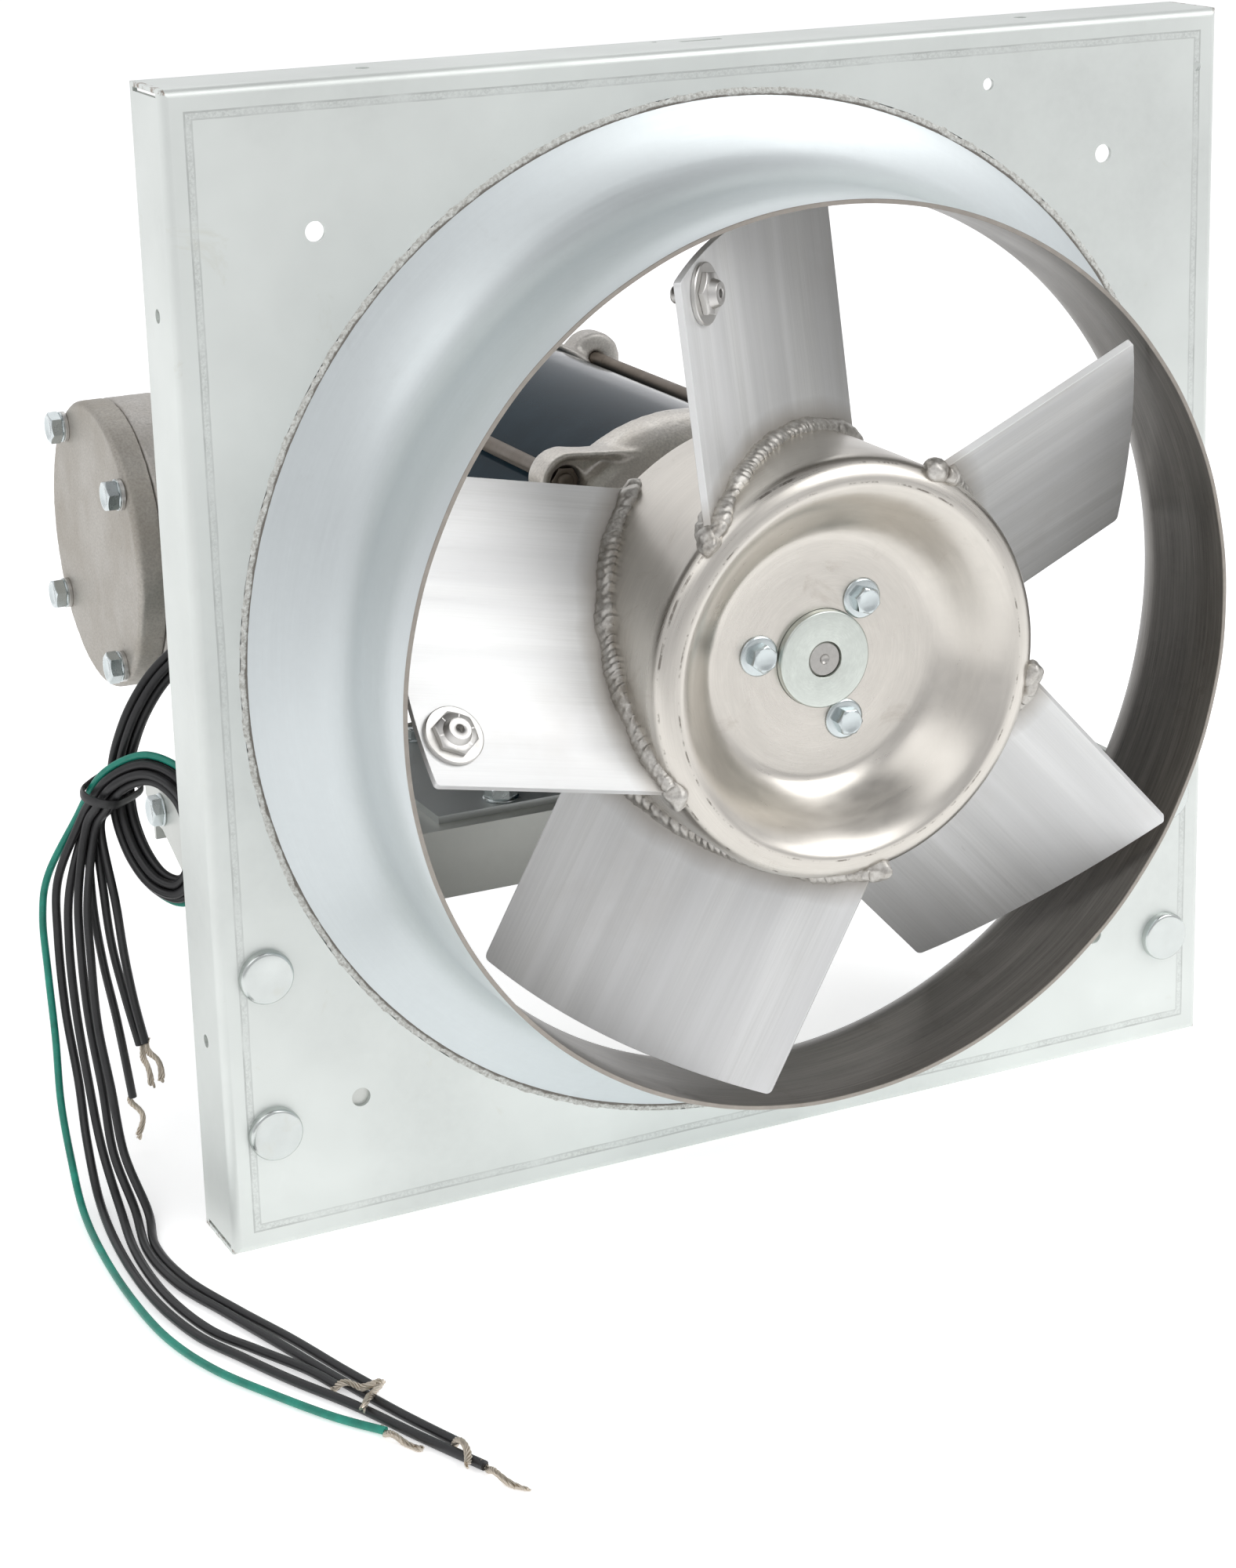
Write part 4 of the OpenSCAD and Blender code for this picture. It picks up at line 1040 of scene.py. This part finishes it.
# ---- hub centre
parts = []
for i, a in enumerate((50, 170, 290)):
    at = (25 * cos(radians(a)), dish_y, 25 * sin(radians(a)))
    parts.append(place(bolt(8.7, 5.6, 14.4, 6, 12, 0.28), aim(at, (0, -1, 0), 12 + 37 * i)))
piece("hub_screws", parts, M_zinc, "hub_bolts", body="rotor")

core_prof = [(6.42, -95), (17.5, -95), (17.5, -89.5), (32, -89.5), (32, -82), (18, -82), (18, -58),
             (6.42, -58)]
piece("hub_core", [revolve(rounded(core_prof, {0: 0.3, 1: 0.9, 4: 0.5, 6: 0.5}), 128)], M_bush,
      "hub_bushing", body="rotor")

v, f = revolve([(0, -93.4), (1.6, -94.0), (1.9, -94.4), (5.7, -94.4), (6.3, -93.7), (6.35, -28),
                (8.5, -28), (8.5, -2), (10.2, -2), (10.2, 20), (12, 20), (12, 190), (10.2, 190),
                (10.2, 196), (8.5, 196), (8.5, 209), (0, 209)], 96)
finish_mesh("shaft_turned", to_mesh("shaft_turned", v, f, merge=1e-7), M_shaft, "rotor",
            ("motor_shaft",), 35)

# ---- motor shell and rods
piece("shell_tube", [revolve([(64.5, 17.2), (64.5, 40), (64.5, 100), (64.5, 160), (64.5, 190.8),
                              (62, 190.8), (62, 17.2)], 160)], M_paint, "motor_shell", 40)


def thread(y0, y1):
    """Ridges of a thread as (radius, y) levels."""
    levels = []
    while y0 < y1:
        levels += [(3.17, y0), (2.95, y0 + 0.45), (3.17, y0 + 0.9)]
        y0 += 0.9
    return levels


rod = [(2.6, 6.4), (3.17, 7.0), *thread(7.0, 30), (3.05, 30.5), (3.05, 180), *thread(180.5, 208.5),
       (2.6, 209.5)]
parts, parts_n = [], []
for i in range(4):
    a = radians(rod_turn + 90 * i)
    x, z = rod_at * cos(a), rod_at * sin(a)
    parts.append(place(disc_stack(rod, 24), aim((x, 0, z), (0, 1, 0))))
    parts_n.append(nut(9.5, 4.5, 3.2, (x, 7, z), (0, 1, 0), 15 + 20 * i))
    parts_n.append(place(hex_solid(11, 0, 5, bore=3.2), aim((x, 203.6, z), (0, 1, 0), 5 + 17 * i)))
piece("rods", parts, M_rod, "tie_rods", 50)
piece("rod_nuts", parts_n, M_rod, "tie_rod_nuts")


# ---- castings
def casting(node, mat, voxel, passes, name, extra=None):
    """The CAD solid with softened, slightly uneven edges, as sand castings have."""
    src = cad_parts[node]
    me = src.data.copy()
    if extra:
        add = to_mesh(name + "_extra", *extra)
        bm = bmesh.new()
        bm.from_mesh(me)
        bm.from_mesh(add)
        bm.to_mesh(me)
        bm.free()
    o = new_object(name, me)
    r = o.modifiers.new("remesh", "REMESH")
    r.mode = "VOXEL"
    r.voxel_size = voxel * mm
    dg = bpy.context.evaluated_depsgraph_get()
    made = bpy.data.meshes.new_from_object(o.evaluated_get(dg))
    bpy.data.objects.remove(o)
    bm = bmesh.new()
    bm.from_mesh(made)
    for _ in range(passes):
        bmesh.ops.smooth_vert(bm, verts=bm.verts, factor=0.5, use_axis_x=True, use_axis_y=True,
                              use_axis_z=True)
    bm.normal_update()
    for v in bm.verts:
        v.co += v.normal * (pn.noise(v.co * 260) * 0.00010)
    bm.to_mesh(made)
    bm.free()
    made.materials.clear()
    made.name = name
    return finish_mesh(name, made, mat, "frame", (node,), 180)


def lug_rims():
    """Raised walls round the four front lugs, running straight out onto the shoulder."""
    lug_r, back, wall = 10.4, 13.0, 2.6
    # Middle line of the wall as (x, z), and the y of its front edge
    line = [((56.9, -24.6), -1.5)]
    for a in range(-50, 51, 10):
        w = radians(a)
        line.append(((rod_at + lug_r * cos(w), lug_r * sin(w)), 1.4))
    line.append(((56.9, 24.6), -1.5))
    pts = [Vector((x, 0, z)) for (x, z), _ in line]
    verts = []
    for i, p in enumerate(pts):
        t = heading(pts, i)
        s = Vector((t.z, 0, -t.x)) * wall / 2
        for d, y in ((s, line[i][1]), (-s, line[i][1]), (-s, back), (s, back)):
            verts.append(tuple((p + d + Vector((0, y, 0))) * mm))
    shapes = [(verts, tube_faces(len(pts), 4))]
    # Floor of the pocket between each wall and the shoulder
    flat = [(76.2, 8.4), (57.2, 24.2), (54.0, 14.0), (62.0, 8.6)]
    for side in (1, -1):
        verts = [(x * mm, y * mm, side * z * mm) for y in (5.6, back) for x, z in flat]
        faces = [(i, i + 4, (i + 1) % 4 + 4, (i + 1) % 4) for i in range(4)]
        shapes.append((verts, [(0, 1, 2, 3), (7, 6, 5, 4)] + faces))
    return join([place(s, about_y(rod_turn + 90 * q)) for q in range(4) for s in shapes])


casting("front_end_bell", M_cast_bell, 1.0, 9, "bell_front_cast", lug_rims())
casting("rear_end_bell", M_cast, 1.3, 5, "bell_rear_cast")
casting("conduit_box", M_cast, 1.1, 2, "box_cast")
casting("conduit_cover", M_cast_cover, 0.9, 2, "cover_cast")

# ---- fasteners
cover_x, washer_t = -180, 1.6
box_y, box_z, screw_circle = 169.5, 6, 51
parts, parts_w = [], []
for i in range(4):
    a = radians(55 + 90 * i)
    y, z = box_y + screw_circle * cos(a), box_z + screw_circle * sin(a)
    parts.append(place(bolt(11, 5.4, 12, 6, 20, 0.6),
                       aim((cover_x - washer_t, y, z), (-1, 0, 0), 11 + 31 * i)))
    washer = [(3.1, 0), (5.8, 0), (6, 0.2), (6, washer_t - 0.2), (5.8, washer_t), (3.1, washer_t)]
    parts_w.append(place(disc_stack(washer, 48), aim((cover_x, y, z), (-1, 0, 0))))
piece("box_screws", parts, M_zinc, "cover_bolts")
piece("box_lock_washers", parts_w, M_zinc_dull, "cover_lock_washers")

round_head = [(3.9, 0), (9.75, 0), (9.75, 1.6), (9.66, 2.2), (9.4, 2.75), (8.95, 3.1), (8.3, 3.25),
              (5, 3.3), (0.05, 3.3)]
parts, parts_n = [], []
for s in (-1, 1):
    for i, z in enumerate((-102, -161)):
        x = s * 187.5
        parts.append(place(disc_stack(round_head, 72), aim((x, panel_y, z), (0, -1, 0))))
        parts.append(place(disc_stack([(4, 0), (4, 16.5), (3.5, 17)], 32),
                           aim((x, panel_y, z), (0, 1, 0))))
        parts_n.append(nut(12.7, 6.5, 4, (x, -26.9, z), (0, 1, 0), 13 + 29 * i))
piece("round_head_bolts", parts, M_zinc_head, "carriage_bolts")
piece("round_head_nuts", parts_n, M_zinc, "carriage_nuts")

channel_y, channel_z = (44, 129), -92.5   # middle lines of the two cross channels
parts, parts_n = [], []
for s in (-1, 1):
    for i, y in enumerate(channel_y):
        parts.append(place(bolt(11, 5, 13, 6.3, 12), aim((s * 172.5, y, channel_z), (s, 0, 0), 9 + 23 * i)))
        parts_n.append(nut(11, 5.2, 3.15, (s * 168, y, channel_z), (-s, 0, 0), 5 + 31 * i))
piece("channel_screws", parts, M_zinc, "channel_bolts")
piece("channel_screw_nuts", parts_n, M_zinc, "channel_nuts")

parts, parts_n, parts_c = [], [], []
for i in range(2):
    for j in range(2):
        x, y = (-65, 65)[i], channel_y[j]
        parts.append(place(bolt(11, 5, 14, 6.3, 13), aim((x, y, -81), (0, 0, 1), 8 + 23 * i + 11 * j)))
        parts_n.append(nut(11, 5.2, 3.15, (x, y, -86), (0, 0, -1), 7 * i))
        x, y = (-57, 57)[i], (66.5, 101.5)[j]
        parts_c.append(place(bolt(11, 5, 13, 6, 14), aim((x, y, -78), (0, 0, 1), 18 + 13 * i + 19 * j)))
        parts_c.append(nut(11, 5.2, 3, (x, y, -84), (0, 0, -1), 9 * j))
piece("plate_screws", parts, M_zinc, "base_plate_bolts")
piece("plate_nuts", parts_n, M_zinc, "base_plate_nuts")
piece("cradle_screws", parts_c, M_zinc, "cradle_bolts")

# ---- floor and light
me = bpy.data.meshes.new("floor")
me.from_pydata([(x, y, floor_z * mm) for x, y in ((-6, -6), (6, -6), (6, 6), (-6, 6))], [],
               [(0, 1, 2, 3)])
floor = new_object("floor", me)
# The paper glows a little behind the object, so that it is as white there as in front
paper = Mat("floor_paper", (0.93, 0.93, 0.93), 0.0, 0.9, Emission_Color=(1, 1, 1, 1))
paper.link(paper.span(paper.xyz()[1], -0.85, -0.36, 0.0, 0.48), paper.b.inputs["Emission Strength"])
paper.color(paper.mix(paper.noise(3, 2), (0.92, 0.92, 0.92), (0.94, 0.94, 0.94)))
me.materials.append(paper.m)

world = bpy.data.worlds.new("studio")
scene.world = world
world.use_nodes = True
sky = Nodes(world.node_tree)


def ramp(value, stops):
    """Greys between (position, grey) stops."""
    r = sky.node("ShaderNodeValToRGB")
    sky.link(value, r.inputs[0])
    el = r.color_ramp.elements
    el[0].position, el[1].position = stops[0][0], stops[-1][0]
    for p, _ in stops[1:-1]:
        el.new(p)
    for e, (p, g) in zip(el, stops):
        e.color = (g, g, g * 1.01, 1)
    return r.outputs[0]


# Bright backdrop behind the object, dimmer room on the near side and overhead,
# and a white band low down on the far side, so that floor and wall run together
_, y, z = sky.xyz(sky.node("ShaderNodeTexCoord").outputs["Generated"])
depth = sky.span(y, -1.0, 1.0)
near = ramp(depth, ((0.0, 0.62), (0.36, 0.66), (0.52, 0.84), (0.70, 0.74)))
high = ramp(z, ((0.0, 1.0), (0.74, 1.0), (0.90, 0.42)))
far = ramp(depth, ((0.0, 0.0), (0.54, 0.0), (0.66, 1.0)))
low = ramp(z, ((0.0, 1.0), (0.12, 1.0), (0.30, 0.0)))
tone = sky.mix(1.0, sky.mix(1.0, near, high, "MULTIPLY"), sky.mix(1.0, far, low, "MULTIPLY"),
               "LIGHTEN")
sky.link(tone, sky.t.nodes["Background"].inputs["Color"])


def area(name, at, to, size, power):
    """Soft rectangular light aimed at a point."""
    li = bpy.data.lights.new(name, "AREA")
    li.shape = "RECTANGLE"
    li.size, li.size_y = size
    li.energy = power
    o = new_object(name, li)
    o.location = at
    o.rotation_euler = (Vector(to) - Vector(at)).to_track_quat("-Z", "Y").to_euler()


area("key", (-1.7, -1.3, 2.4), (0, 0, 0), (2.4, 2.0), 15)
area("fill", (1.6, -1.9, 2.0), (0, 0, 0), (2.2, 1.8), 36)
area("top", (0.3, 1.8, 2.0), (0, 0, -0.1), (2.6, 1.6), 8)
